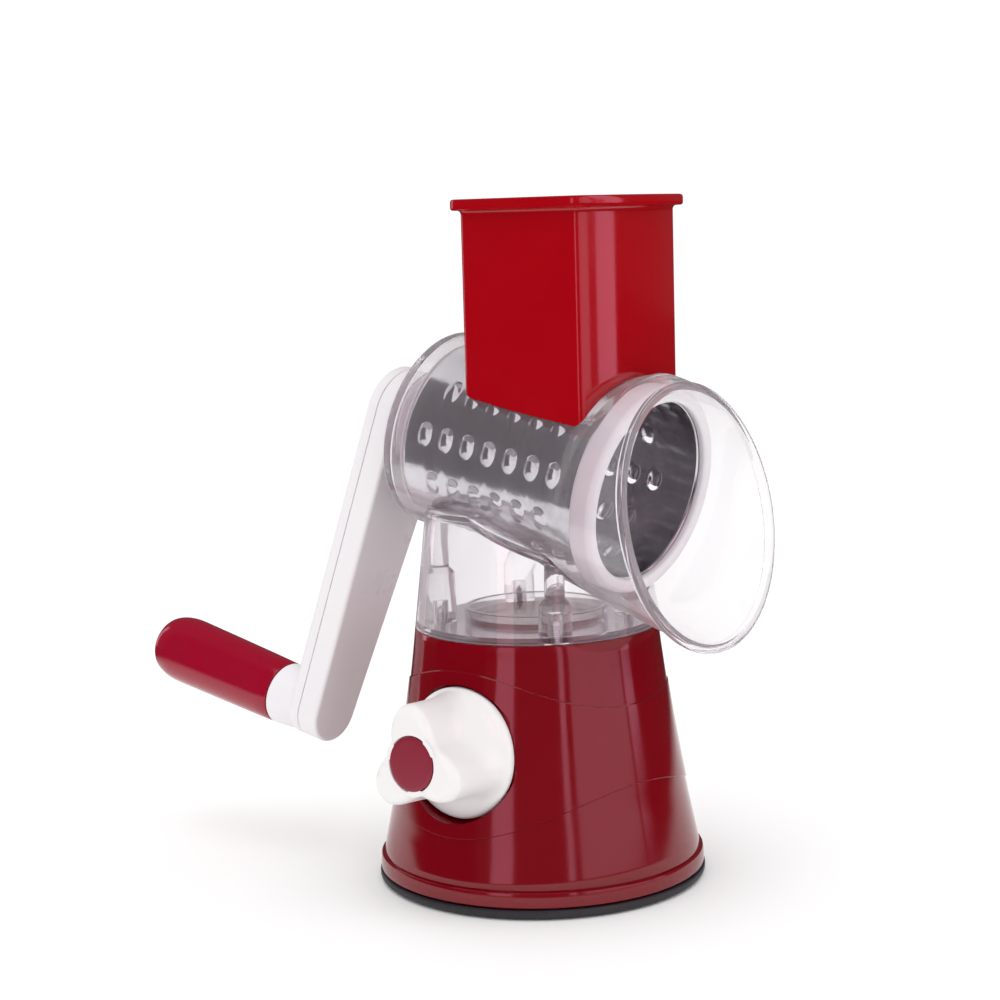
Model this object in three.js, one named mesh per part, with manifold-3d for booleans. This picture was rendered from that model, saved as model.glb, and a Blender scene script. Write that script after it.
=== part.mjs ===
// Hand-cranked drum grater on a suction base. Millimetres and degrees, +Z up.
// The origin is the centre of the suction pad's underside. +X points to the outlet,
// -Y to the lock knob, and the crank is at the -X end.
import * as THREE from "three";
import { mergeVertices } from "three/addons/utils/BufferGeometryUtils.js";
import Module from "manifold-3d";

const wasm = await Module();
wasm.setup();

// ---- Driving dimensions ----

// Clearances: between faces that meet, and round anything that turns or slides.
const gap = 0.3;
const runningGap = 0.3;
const slotGap = 0.35;

const pad = { radius: 56, rimHeight: 3.3, edge: 0.8, bossRadius: 20, bossHeight: 8, insertSeat: 4.7 };

const base = {
  footRadius: 55.7,
  bandRadius: 55.3,
  bandHeight: 5.3,
  bandStep: 0.7,
  coneFoot: 54.5,
  topRadius: 41.4,
  topHeight: 86.6,
  wall: 2.6,
  deckDepth: 3,
  deckThickness: 2.6,
  bossRadius: 22.3,
  bossHeight: 90.2,
  bossWall: 2.5,
  guideFoot: 30,
  guideWall: 2.6,
};

// The lock knob's axis leaves the body's axis at this height and climbs by this angle.
const knob = {
  height: 47.8,
  climb: 3.6,
  seatDistance: 42,
  seatWall: 2.8,
  seatLip: 0.9,
  flangeRadius: 21.7,
  flangeThickness: 2.2,
  faceDistance: 68.6,
  lobeRadius: 15,
  lobeSwing: 4.2,
  lobeAngle: 100,
  capRadius: 8.85,
  capThickness: 2.2,
  boreDepth: 9,
  screwSeat: 3,
  screwWay: 4,
  edge: 2.6,
};

// A cranked pin on the shaft's end lifts the stem while the knob turns a quarter turn.
const lock = {
  shaftRadius: 5,
  pinRadius: 2.6,
  pinThrow: 2.1,
  pinReach: 15.5,
  turn: 90,
  threadDepth: 9,
  clipReach: 3.2,
  clipThickness: 1.2,
};
const stem = {
  radius: 8.7,
  foot: 12,
  top: 58,
  studRadius: 3.1,
  studTop: 26,
  insertRadius: 16,
  insertDepth: 2,
};
const stemPin = { height: 20, radius: 1.5, length: 16 };

// The drum's axis passes through the body's axis at this height and falls towards the outlet.
const drum = {
  height: 144.4,
  fall: 12,
  radius: 30.4,
  sheet: 0.6,
  rear: -30.9,
  front: 47.2,
  hubFlange: 1.2,
  hubRim: 5,
  hubWall: 2,
  ringRadius: 34.8,
  ringStart: 42.05,
  ringEnd: 50.2,
  ringOpening: 29.9,
};
const teeth = { rows: 12, first: 22.5, pitch: 8.92, start: -22.5, long: 7, hole: 2.7, sides: 6 };
const drive = {
  width: 22.6,
  corner: 6,
  tip: -58.4,
  wall: 2.4,
  windowAt: -51.6,
  windowLong: 5,
  windowWide: 7,
};

const barrel = {
  radius: 33.8,
  wall: 1.9,
  rear: -37.8,
  rearWall: 2.4,
  rearEdge: 1,
  flareStart: 10,
  flareEnd: 33,
  flareLow: 36.9,
  seatStart: 42,
  seatLow: 38.1,
  seatHigh: 37.2,
  seatEnd: 44,
  seatRadius: 38.4,
  bearingEnd: -47,
  bearingWall: 2.6,
};
const mouth = { reach: 67.3, height: 127.3, radius: 42.8, lean: 10.2, lip: 1.1, lipDepth: 3 };
const skirt = {
  wall: 2.6,
  topHeight: 127.5,
  topRadius: 36.6,
  edge: 1,
  shelf: 2.2,
  slopeHeight: 127.2,
  slope: 0.45,
  spigotDepth: 2.4,
  spigotWall: 1.8,
  floor: 1.8,
  collarWall: 1.8,
  collarHeight: 93.2,
};
const post = { across: 24, along: 22, footRadius: 5.6, neckRadius: 3.3, rearStep: 105.5, frontStep: 99 };
const postScrew = { radius: 1.5, headRadius: 3.6, headHeight: 2.2, depth: 12 };

const hopper = {
  rear: -7.8,
  front: 41.2,
  halfWidth: 27.7,
  bulge: 3.2,
  rearCorner: 4,
  frontCorner: 2.5,
  wall: 2.2,
  foot: 148.4,
  top: 230,
  rimHeight: 3.6,
  rimReach: 3.4,
};
const neck = { wall: 1.8, top: 178, throatFoot: 152.4, throatTop: 183 };

// The crank arm, measured along the drum's axis and out along the arm.
const crank = {
  inner: -48.3,
  parting: -57,
  outer: -61.7,
  length: 108.5,
  hubRadius: 16.2,
  endRadius: 10.5,
  swing: 14.6,
  floor: 2.4,
  wall: 2.2,
  edge: 1.6,
  collarEnd: -72.1,
  collarRadius: 11.1,
  socketWall: 1.2,
  stemRoom: 0.9,
};
const journal = { radius: 15.9, end: -34.6 };
const coverScrew = { radius: 1.4, headRadius: 3, headHeight: 1.8, boss: 4, at: [50, 82] };
const latch = {
  travel: 3.5,
  coverGap: 1.4,
  bite: 2,
  width: 8,
  depth: 4,
  tabStart: 22,
  tabLong: 6,
  tabProud: 1.8,
  bodyEnd: 31,
};
const spring = { length: 9, radius: 2.8, wall: 0.9 };

const grip = {
  start: -72.4,
  waist: -121,
  end: -131.6,
  neckRadius: 11.15,
  bellyRadius: 12.1,
  endRadius: 8.2,
  recessRadius: 7.2,
  recessDepth: 5,
};
const axle = { radius: 4, headRadius: 6.5, headThickness: 2.2, threadRadius: 1.5, threadDepth: 10 };
const endScrew = {
  headRadius: 3.6,
  headHeight: 1.6,
  washerRadius: 6.4,
  washerThickness: 0.9,
  plugThickness: 1.3,
};

// Facets round a large turned piece, a middling one and a small one.
const fine = 30;
const medium = 20;
const coarse = 8;

// Faces this nearly flat to each other are joined into one.
const tolerance = 0.003;

// ---- Values that follow from the driving dimensions ----

const radians = THREE.MathUtils.degToRad;
const coneSlope = (base.coneFoot - base.topRadius) / (base.topHeight - pad.rimHeight - gap - base.bandHeight);
const coneRadius = (z) => base.topRadius + (base.topHeight - z) * coneSlope;
const skirtFoot = base.topHeight + gap;
// The knob's shaft starts just clear of the lift stem.
const shaftStart = stem.radius + 1;
const deckTop = base.topHeight - base.deckDepth;
const deckFoot = deckTop - base.deckThickness;
const guideRadius = stem.radius + runningGap;
const pinDrop = lock.pinThrow * Math.sin(radians(lock.turn / 2));
const socketWidth = drive.width + 2 * gap;
const bearingRadius = journal.radius + runningGap;
const hubRear = drum.rear - gap - drum.hubFlange;

const shift = (x, y, z) => new THREE.Matrix4().makeTranslation(x, y, z);

// ---- Materials ----

const finish = (color, roughness, metalness = 0, opacity = 1) =>
  new THREE.MeshStandardMaterial({ color, roughness, metalness, opacity, transparent: opacity < 1 });
const redPlastic = finish(0xa80010, 0.18);
const whitePlastic = finish(0xefecee, 0.3);
const clearPlastic = finish(0xf2eff0, 0.08, 0, 0.35);
const steel = finish(0xb9bac0, 0.2, 1);
const rubber = finish(0x141214, 0.65);

// ---- Solids ----

// A closed three.js geometry as a solid whose faces point out.
function solid(geometry, place) {
  const bare = new THREE.BufferGeometry().setAttribute("position", geometry.getAttribute("position").clone());
  bare.setIndex(geometry.index);
  if (place) bare.applyMatrix4(place);
  const merged = mergeVertices(bare, 1e-4);
  const vertProperties = merged.attributes.position.array;
  const triVerts = new Uint32Array(merged.index.array);
  const made = new wasm.Manifold(new wasm.Mesh({ numProp: 3, vertProperties, triVerts, tolerance }));
  if (made.volume() > 0) return made;
  triVerts.reverse();
  return new wasm.Manifold(new wasm.Mesh({ numProp: 3, vertProperties, triVerts, tolerance }));
}

// A solid turned about Z from [radius, height] pairs that start and end on the axis or form a loop.
function turned(profile, segments = fine, place = undefined) {
  const points = profile.map(([radius, height]) => new THREE.Vector2(radius, height));
  const onAxis = profile[0][0] === 0 && profile[profile.length - 1][0] === 0;
  if (!onAxis) points.push(points[0].clone());
  const geometry = new THREE.LatheGeometry(points, segments).rotateX(Math.PI / 2);
  return solid(geometry, place);
}

const rod = (radius, from, to, segments, place) =>
  turned([[0, from], [radius, from], [radius, to], [0, to]], segments, place);

const tube = (outer, inner, from, to, segments, place) =>
  turned([[inner, from], [outer, from], [outer, to], [inner, to]], segments, place);

// A flat outline in X and Y, carried up Z between two heights.
function prism(outline, from, to, place = undefined, curveSegments = 6) {
  const geometry = new THREE.ExtrudeGeometry(outline, {
    depth: to - from,
    bevelEnabled: false,
    curveSegments,
  }).translate(0, 0, from);
  return solid(geometry, place);
}

function block(x0, x1, y0, y1, z0, z1, place) {
  const geometry = new THREE.BoxGeometry(x1 - x0, y1 - y0, z1 - z0);
  return solid(geometry.translate((x0 + x1) / 2, (y0 + y1) / 2, (z0 + z1) / 2), place);
}

// A skin over rings of points that all have the same count, closed by a flat cap at each end.
function loft(rings) {
  const count = rings[0].length;
  const centres = [rings[0], rings[rings.length - 1]].map((ring) =>
    ring.reduce((sum, point) => sum.add(point), new THREE.Vector3()).divideScalar(count),
  );
  const points = [...rings.flat(), ...centres];
  const faces = [];
  for (let ring = 0; ring < rings.length - 1; ring++) {
    for (let i = 0; i < count; i++) {
      const here = ring * count + i;
      const next = ring * count + ((i + 1) % count);
      faces.push(here, next, next + count, here, next + count, here + count);
    }
  }
  const last = (rings.length - 1) * count;
  for (let i = 0; i < count; i++) {
    const next = (i + 1) % count;
    faces.push(rings.length * count, next, i);
    faces.push(rings.length * count + 1, last + i, last + next);
  }
  const geometry = new THREE.BufferGeometry().setFromPoints(points);
  return solid(geometry.setIndex(faces));
}

const together = (first, ...rest) => rest.reduce((sum, piece) => sum.add(piece), first);
const cut = (first, ...rest) => rest.reduce((left, piece) => left.subtract(piece), first);

// A rounded square centred on the axis.
function roundedSquare(width, corner) {
  const half = width / 2;
  const outline = new THREE.Shape();
  outline.absarc(half - corner, half - corner, corner, 0, Math.PI / 2);
  outline.absarc(corner - half, half - corner, corner, Math.PI / 2, Math.PI);
  outline.absarc(corner - half, corner - half, corner, Math.PI, 1.5 * Math.PI);
  outline.absarc(half - corner, corner - half, corner, 1.5 * Math.PI, 2 * Math.PI);
  return outline;
}

// ---- The object ----

// Pieces on the knob's axis, the drum's axis and the crank are made square in a group of their own.
const grater = new THREE.Group();
const knobGroup = new THREE.Group();
const drumGroup = new THREE.Group();
const crankGroup = new THREE.Group();
const gripGroup = new THREE.Group();
knobGroup.position.z = knob.height;
knobGroup.rotation.x = radians(90 - knob.climb);
drumGroup.position.z = drum.height;
drumGroup.rotation.y = radians(90 + drum.fall);
crankGroup.rotation.z = radians(-crank.swing);
gripGroup.position.x = crank.length;
grater.add(knobGroup, drumGroup);
drumGroup.add(crankGroup);
crankGroup.add(gripGroup);
grater.updateMatrixWorld(true);
const knobAxis = knobGroup.matrixWorld;
const drumAxis = drumGroup.matrixWorld;

function add(group, name, made, material) {
  const data = made.getMesh();
  const positions = new Float32Array(data.numVert * 3);
  for (let i = 0; i < data.numVert; i++) {
    positions.set(data.vertProperties.subarray(i * data.numProp, i * data.numProp + 3), i * 3);
  }
  const geometry = new THREE.BufferGeometry()
    .setAttribute("position", new THREE.BufferAttribute(positions, 3))
    .setIndex(new THREE.BufferAttribute(data.triVerts, 1));
  geometry.computeVertexNormals();
  const mesh = new THREE.Mesh(geometry, material);
  mesh.name = name;
  group.add(mesh);
}

// ---- Suction pad and the stem that pulls it up ----

function makeSuction() {
  const rubberPad = turned([
    [0, 0],
    [pad.radius - pad.edge, 0],
    [pad.radius, pad.edge],
    [pad.radius, pad.rimHeight],
    [pad.bossRadius, pad.rimHeight],
    [pad.bossRadius - 1, pad.bossHeight],
    [stem.insertRadius + gap, pad.bossHeight],
    [stem.insertRadius + gap, pad.insertSeat],
    [0, pad.insertSeat],
  ]);
  add(grater, "suction_pad", rubberPad, rubber);

  const insertFoot = pad.insertSeat + gap;
  const pinHole = rod(stemPin.radius + gap, -stem.radius, stem.radius, coarse, stemPinPlace());
  const insert = turned([
    [0, insertFoot],
    [stem.insertRadius, insertFoot],
    [stem.insertRadius, insertFoot + stem.insertDepth],
    [stem.studRadius, insertFoot + stem.insertDepth],
    [stem.studRadius, stem.studTop],
    [0, stem.studTop],
  ], medium);
  add(grater, "pad_insert", cut(insert, pinHole), steel);

  const slotHalfWidth = lock.pinThrow + lock.pinRadius + slotGap;
  const slotHalfHeight = lock.pinRadius + slotGap;
  const slot = block(
    -slotHalfWidth, slotHalfWidth,
    -pinDrop - slotHalfHeight, -pinDrop + slotHalfHeight,
    -2 * stem.radius, 2 * stem.radius, knobAxis,
  );
  const bar = turned([
    [0, stem.foot],
    [stem.radius, stem.foot],
    [stem.radius, stem.top],
    [0, stem.top],
  ], medium);
  const socket = rod(stem.studRadius + gap, 0, stem.studTop + gap, medium);
  add(grater, "lift_stem", cut(bar, slot, socket, pinHole), whitePlastic);
  const halfPin = stemPin.length / 2;
  add(grater, "stem_pin", rod(stemPin.radius, -halfPin, halfPin, coarse, stemPinPlace()), steel);
}

// The cross pin lies along X.
function stemPinPlace() {
  return new THREE.Matrix4().makeRotationY(Math.PI / 2).setPosition(0, 0, stemPin.height);
}

// ---- Base shell ----

function makeBase() {
  const foot = pad.rimHeight + gap;
  const bandTop = foot + base.bandHeight;
  const innerCone = (z) => coneRadius(z) - base.wall;
  const shell = turned([
    [0, base.bossHeight],
    [base.bossRadius, base.bossHeight],
    [base.bossRadius, deckTop],
    [coneRadius(base.topHeight) - base.wall, deckTop],
    [coneRadius(base.topHeight) - base.wall, base.topHeight],
    [base.topRadius, base.topHeight],
    [coneRadius(bandTop + base.bandStep), bandTop + base.bandStep],
    [base.bandRadius, bandTop],
    [base.footRadius, foot],
    [base.footRadius - base.wall, foot],
    [innerCone(bandTop), bandTop],
    [innerCone(deckFoot), deckFoot],
    [base.bossRadius - base.bossWall, deckFoot],
    [base.bossRadius - base.bossWall, base.bossHeight - base.bossWall],
    [guideRadius + base.guideWall, base.bossHeight - base.bossWall],
    [guideRadius + base.guideWall, base.guideFoot],
    [guideRadius, base.guideFoot],
    [guideRadius, base.bossHeight - base.bossWall],
    [0, base.bossHeight - base.bossWall],
  ]);
  const coneSolid = turned([
    [0, bandTop],
    [coneRadius(bandTop), bandTop],
    [base.topRadius, base.topHeight],
    [0, base.topHeight],
  ]);
  const seatRadius = knob.flangeRadius + knob.seatLip;
  const seatBack = knob.seatDistance - knob.seatWall;
  const seatRim = seatRadius + base.wall;
  const seatBlock = rod(seatRim, seatBack, 2 * base.footRadius, fine, knobAxis).intersect(coneSolid);
  const seat = rod(seatRadius, knob.seatDistance, 2 * base.footRadius, fine, knobAxis);
  const holeRadius = lock.shaftRadius + runningGap;
  const shaftHole = rod(holeRadius, shaftStart - 5, knob.seatDistance + 1, medium, knobAxis);
  const screwHoles = postPlaces().map(({ x, y }) =>
    rod(postScrew.radius + gap, deckFoot - 1, deckTop + 1, coarse, shift(x, y, 0)),
  );
  add(grater, "base_shell", cut(together(shell, seatBlock), seat, shaftHole, ...screwHoles), redPlastic);
}

// ---- Lock knob on its shaft ----

function lobedOutline() {
  const steps = 45;
  const points = Array.from({ length: steps }, (_, i) => {
    const angle = (i / steps) * 2 * Math.PI;
    const radius = knob.lobeRadius + knob.lobeSwing * Math.cos(3 * (angle - radians(knob.lobeAngle)));
    return new THREE.Vector2(radius * Math.cos(angle), radius * Math.sin(angle));
  });
  return new THREE.Shape(points);
}

function makeKnob() {
  const face = knob.faceDistance;
  const back = knob.seatDistance + gap;
  const rim = back + knob.flangeThickness;
  const boreEnd = face - knob.boreDepth;
  const capFloor = face - knob.capThickness - gap;
  const headFloor = capFloor - knob.screwSeat;

  const throwAngle = radians(180 + lock.turn / 2);
  const pinPlace = shift(lock.pinThrow * Math.cos(throwAngle), lock.pinThrow * Math.sin(throwAngle), 0);
  const shaft = rod(lock.shaftRadius, shaftStart, boreEnd - gap, medium);
  const pin = rod(lock.pinRadius, shaftStart - lock.pinReach, shaftStart + 1, medium, pinPlace);
  const thread = rod(coverScrew.radius + gap, boreEnd - lock.threadDepth, boreEnd, coarse);
  add(knobGroup, "knob_shaft", cut(together(shaft, pin), thread), steel);

  const clipFace = knob.seatDistance - knob.seatWall - gap;
  const clipRadius = lock.shaftRadius + lock.clipReach;
  const clip = tube(clipRadius, lock.shaftRadius + gap, clipFace - lock.clipThickness, clipFace, medium);
  add(knobGroup, "shaft_clip", clip, steel);

  const flange = turned([
    [0, back],
    [knob.flangeRadius, back],
    [knob.flangeRadius, rim],
    [knob.flangeRadius - 0.9, rim + 1.1],
    [knob.flangeRadius - 5, rim + 2.8],
    [knob.flangeRadius - 10, rim + 4],
    [0, rim + 4.5],
  ], fine);
  const grabFoot = rim + knob.edge - 1;
  const grab = new THREE.ExtrudeGeometry(lobedOutline(), {
    depth: face - knob.edge - grabFoot,
    bevelEnabled: true,
    bevelThickness: knob.edge,
    bevelSize: knob.edge,
    bevelOffset: -knob.edge,
    bevelSegments: 2,
  }).translate(0, 0, grabFoot);
  const bore = rod(lock.shaftRadius + gap, back - 1, boreEnd, medium);
  const screwHole = rod(coverScrew.radius + gap, boreEnd - 1, headFloor + 1, coarse);
  const headHole = rod(knob.screwWay, headFloor, capFloor + 1, coarse);
  const capHole = rod(knob.capRadius + gap, capFloor, face + 1, medium);
  const body = together(flange, solid(grab));
  add(knobGroup, "lock_knob", cut(body, bore, screwHole, headHole, capHole), whitePlastic);

  const cap = turned([
    [0, capFloor + gap],
    [knob.capRadius, capFloor + gap],
    [knob.capRadius, face - 0.2],
    [knob.capRadius - 0.8, face + 0.2],
    [0, face + 0.4],
  ], medium);
  add(knobGroup, "knob_cap", cap, redPlastic);
  addScrew(knobGroup, "knob_screw", headFloor + gap, -1, coverScrew.radius, 3.4, 2.2, 8);
}

// A pan-head screw on a local Z axis: its head stands from seat against the way it points.
function addScrew(group, name, seat, pointing, radius, headRadius, headHeight, length, place) {
  const along = (distance) => seat + pointing * distance;
  const screw = turned([
    [0, along(-headHeight)],
    [headRadius * 0.7, along(-headHeight)],
    [headRadius, along(-headHeight * 0.4)],
    [headRadius, along(0)],
    [radius, along(0)],
    [radius, along(length - radius)],
    [0, along(length)],
  ], coarse, place);
  add(group, name, screw, steel);
}

// ---- Clear housing ----

// One ring of the barrel, in a plane that leans back from upright by the fall.
function ringAt(x, z, fall, radius) {
  const up = new THREE.Vector3(Math.sin(radians(fall)), 0, Math.cos(radians(fall)));
  const centre = new THREE.Vector3(x, 0, z);
  return Array.from({ length: fine }, (_, i) => {
    const angle = (i / fine) * 2 * Math.PI;
    const side = new THREE.Vector3(0, radius * Math.sin(angle), 0);
    return centre.clone().addScaledVector(up, radius * Math.cos(angle)).add(side);
  });
}

// A ring square to the drum's axis, at a distance along it, with its reach below and above the axis.
function axisRing(distance, low, high = low) {
  const fall = radians(drum.fall);
  const drop = (low - high) / 2;
  const x = distance * Math.cos(fall) - drop * Math.sin(fall);
  const z = drum.height - distance * Math.sin(fall) - drop * Math.cos(fall);
  return ringAt(x, z, drum.fall, (low + high) / 2);
}

// The barrel's underside widens first, and its top only where the drum's ring sits.
function flareRings(offset) {
  return [
    axisRing(barrel.flareStart, barrel.radius + offset),
    axisRing(barrel.flareEnd, barrel.flareLow + offset, barrel.radius + offset),
    axisRing(barrel.seatStart, barrel.seatLow + offset, barrel.seatHigh + offset),
    axisRing(barrel.seatEnd, barrel.seatRadius + offset),
  ];
}

// The scoop's rings swing from square with the drum to square with the mouth.
function scoopRings(offset) {
  const steps = 4;
  const fall = radians(drum.fall);
  const startX = barrel.seatEnd * Math.cos(fall);
  const startZ = drum.height - barrel.seatEnd * Math.sin(fall);
  return Array.from({ length: steps }, (_, i) => {
    const share = (i + 1) / steps;
    const swing = share ** 0.8;
    return ringAt(
      startX + (mouth.reach - startX) * share,
      startZ + (mouth.height - startZ) * share,
      drum.fall - (drum.fall + mouth.lean) * swing,
      barrel.seatRadius + (mouth.radius - barrel.seatRadius) * share ** 1.15 + offset,
    );
  });
}

// The barrel's outside, grown by an offset.
function barrelOutside(offset) {
  return loft([
    axisRing(barrel.rear - offset, barrel.radius - barrel.rearEdge + offset),
    axisRing(barrel.rear + barrel.rearEdge - offset, barrel.radius + offset),
    ...flareRings(offset),
    ...scoopRings(offset),
  ]);
}

function barrelInside() {
  const inset = -barrel.wall;
  const rings = scoopRings(inset);
  const axis = new THREE.Vector3(Math.cos(radians(mouth.lean)), 0, Math.sin(radians(mouth.lean)));
  const beyond = rings[rings.length - 1].map((point) => point.clone().addScaledVector(axis, 2));
  return loft([
    axisRing(barrel.rear + barrel.rearWall, barrel.radius + inset),
    ...flareRings(inset),
    ...rings,
    beyond,
  ]);
}

function mouthLip() {
  const place = new THREE.Matrix4()
    .makeRotationY(radians(90 - mouth.lean))
    .setPosition(mouth.reach, 0, mouth.height);
  return turned([
    [mouth.radius - barrel.wall, -mouth.lipDepth],
    [mouth.radius - 0.4, -mouth.lipDepth],
    [mouth.radius + mouth.lip, -mouth.lipDepth * 0.6],
    [mouth.radius + mouth.lip, -0.5],
    [mouth.radius + mouth.lip - 0.6, 0],
    [mouth.radius - barrel.wall, 0],
  ], fine, place);
}

function postPlaces() {
  return [-1, 1].flatMap((front) =>
    [-1, 1].map((side) => ({
      x: front * post.across,
      y: side * post.along,
      step: front < 0 ? post.rearStep : post.frontStep,
    })),
  );
}

// The neck stands inside the hopper's foot, and its outline follows the hopper's inner wall.
function hopperOutline(inset) {
  const x0 = hopper.rear + inset;
  const x1 = hopper.front - inset;
  const y = hopper.halfWidth - inset;
  const rear = Math.max(hopper.rearCorner - inset, 0.5);
  const front = Math.max(hopper.frontCorner - inset, 0.5);
  const outline = new THREE.Shape();
  outline.moveTo(x0 + rear, -y);
  outline.lineTo(x1 - front, -y);
  outline.quadraticCurveTo(x1, -y, x1 + 0.3, front - y);
  outline.quadraticCurveTo(x1 + 2 * hopper.bulge, 0, x1 + 0.3, y - front);
  outline.quadraticCurveTo(x1, y, x1 - front, y);
  outline.lineTo(x0 + rear, y);
  outline.absarc(x0 + rear, y - rear, rear, Math.PI / 2, Math.PI);
  outline.absarc(x0 + rear, rear - y, rear, Math.PI, 1.5 * Math.PI);
  return outline;
}

// The skirt's outline, pulled in by a wall, and closed by a shelf that slopes down towards the mouth.
function skirtBody(foot, wall, shelf) {
  const { topHeight, topRadius, edge, slopeHeight, slope } = skirt;
  const lean = (coneRadius(skirtFoot) - topRadius) / (topHeight - skirtFoot);
  const body = turned([
    [0, foot],
    [topRadius + (topHeight - foot) * lean - wall, foot],
    [topRadius + edge * lean - wall, topHeight - edge - shelf],
    [topRadius - edge - wall, topHeight - shelf],
    [0, topHeight - shelf],
  ]);
  const steepness = Math.hypot(1, slope);
  return body.trimByPlane([-slope, 0, -1], shelf - slopeHeight / steepness);
}

function makeHousing() {
  // The skirt carries on the base's cone. Its floor joins a spigot in the base's rim to a
  // collar round the base's boss.
  const spigotRadius = base.topRadius - base.wall - gap;
  const collarInner = base.bossRadius + gap;
  const collarFoot = deckTop + gap;
  const hollow = barrelInside();
  const room = skirtBody(skirtFoot + skirt.floor, skirt.wall, skirt.shelf);
  const shell = cut(skirtBody(skirtFoot, 0, 0), room);
  const collar = tube(collarInner + skirt.collarWall, collarInner, collarFoot, skirt.collarHeight, fine);
  const spigotFoot = skirtFoot - skirt.spigotDepth;
  const spigot = tube(spigotRadius, spigotRadius - skirt.spigotWall, spigotFoot, skirtFoot + 1, fine);
  const bossHole = rod(collarInner, deckTop, skirt.collarHeight + 1, fine);

  const posts = postPlaces().map(({ x, y, step }) =>
    turned([
      [0, deckTop + gap],
      [post.footRadius, deckTop + gap],
      [post.footRadius, step],
      [post.neckRadius, step + 1.5],
      [post.neckRadius, drum.height],
      [0, drum.height],
    ], coarse, shift(x, y, 0)),
  );
  const screwHoles = postPlaces().map(({ x, y }) =>
    rod(postScrew.radius + gap, deckTop, deckTop + postScrew.depth + gap, coarse, shift(x, y, 0)),
  );

  const neckOutside = prism(hopperOutline(hopper.wall + gap), drum.height, neck.top);
  const throat = prism(hopperOutline(hopper.wall + gap + neck.wall), neck.throatFoot, neck.throatTop);

  const bearing = rod(bearingRadius + barrel.bearingWall, barrel.bearingEnd, barrel.rear + 1, fine, drumAxis);
  const bore = rod(bearingRadius, barrel.bearingEnd - 1, barrel.rear + barrel.rearWall + 1, fine, drumAxis);

  const body = together(barrelOutside(0), shell, collar, spigot, bearing, mouthLip());
  const solids = together(body, ...posts, neckOutside);
  add(grater, "clear_housing", cut(solids, hollow, throat, bore, bossHole, ...screwHoles), clearPlastic);

  postPlaces().forEach(({ x, y }, i) => {
    const length = postScrew.depth + base.deckThickness - 1;
    const { radius, headRadius, headHeight } = postScrew;
    const name = `housing_screw_${i + 1}`;
    addScrew(grater, name, deckFoot - gap, 1, radius, headRadius, headHeight, length, shift(x, y, 0));
  });
}

// ---- Hopper ----

function makeHopper() {
  const walls = prism(hopperOutline(0), hopper.foot, hopper.top);
  const rim = prism(hopperOutline(-hopper.rimReach), hopper.top - hopper.rimHeight, hopper.top);
  const inside = prism(hopperOutline(hopper.wall), hopper.foot - 1, hopper.top + 1);
  add(grater, "hopper", cut(together(walls, rim), inside, barrelOutside(gap)), redPlastic);
}

// ---- Grating drum ----

function makeDrum() {
  // Two facets to a row of teeth, with each row in the middle of a facet.
  const facets = 2 * teeth.rows;
  const facetTurn = new THREE.Matrix4().makeRotationZ(radians(teeth.first + 180 / facets));
  const sleeve = tube(drum.radius, drum.radius - drum.sheet, drum.rear, drum.front, facets, facetTurn);
  const holes = [];
  for (let row = 0; row < teeth.rows; row++) {
    const angle = radians(180 + teeth.first + (row * 360) / teeth.rows);
    const staggered = row % 2;
    for (let i = 0; i < teeth.long - staggered; i++) {
      const along = teeth.start + (i + staggered / 2) * teeth.pitch;
      const place = new THREE.Matrix4()
        .makeRotationZ(angle)
        .multiply(shift(0, 0, along))
        .multiply(new THREE.Matrix4().makeRotationY(Math.PI / 2));
      holes.push(rod(teeth.hole, drum.radius - 3, drum.radius + 2, teeth.sides, place));
    }
  }
  add(drumGroup, "drum_sleeve", cut(sleeve, ...holes), steel);

  const ring = turned([
    [drum.radius + gap, drum.ringStart],
    [drum.ringRadius - 0.6, drum.ringStart],
    [drum.ringRadius, drum.ringStart + 0.6],
    [drum.ringRadius, drum.ringEnd - 1.2],
    [drum.ringRadius - 1.2, drum.ringEnd],
    [drum.ringOpening + 0.8, drum.ringEnd],
    [drum.ringOpening, drum.ringEnd - 0.8],
    [drum.ringOpening, drum.front + gap],
    [drum.radius + gap, drum.front + gap],
  ], fine);
  add(drumGroup, "drum_ring", ring, whitePlastic);

  const rimRadius = drum.radius - drum.sheet - gap;
  const discFront = drum.rear + drum.hubWall;
  const cup = turned([
    [0, hubRear],
    [drum.radius, hubRear],
    [drum.radius, drum.rear - gap],
    [rimRadius, drum.rear - gap],
    [rimRadius, drum.rear + drum.hubRim],
    [rimRadius - drum.hubWall, drum.rear + drum.hubRim],
    [rimRadius - drum.hubWall, discFront],
    [0, discFront],
  ], fine);
  const shank = prism(roundedSquare(drive.width, drive.corner), drive.tip, discFront - 0.5, undefined, 4);
  const hollow = prism(
    roundedSquare(drive.width - 2 * drive.wall, drive.corner - drive.wall),
    drive.tip + drive.wall, discFront + 1, undefined, 3,
  );
  const halfWide = drive.windowWide / 2;
  const halfLong = drive.windowLong / 2;
  const window = block(
    0, drive.width, -halfWide, halfWide,
    drive.windowAt - halfLong, drive.windowAt + halfLong,
  );
  add(crankGroup, "drum_hub", cut(together(cup, shank), hollow, window), whitePlastic);
}

// ---- Crank arm ----

// The arm's outline: a round hub on the axis, a smaller round end, and straight sides between them.
function armOutline(inset, from = 0) {
  const hub = crank.hubRadius - inset;
  const end = crank.endRadius - inset;
  const lean = Math.asin((hub - end) / crank.length);
  const outline = new THREE.Shape();
  if (from) {
    const side = hub / Math.cos(lean) - from * Math.tan(lean);
    outline.moveTo(from, side);
    outline.lineTo(from, -side);
  } else {
    outline.absarc(0, 0, hub, Math.PI / 2 - lean, 1.5 * Math.PI + lean);
  }
  outline.absarc(crank.length, 0, end, -(Math.PI / 2 - lean), Math.PI / 2 - lean);
  return outline;
}

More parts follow.
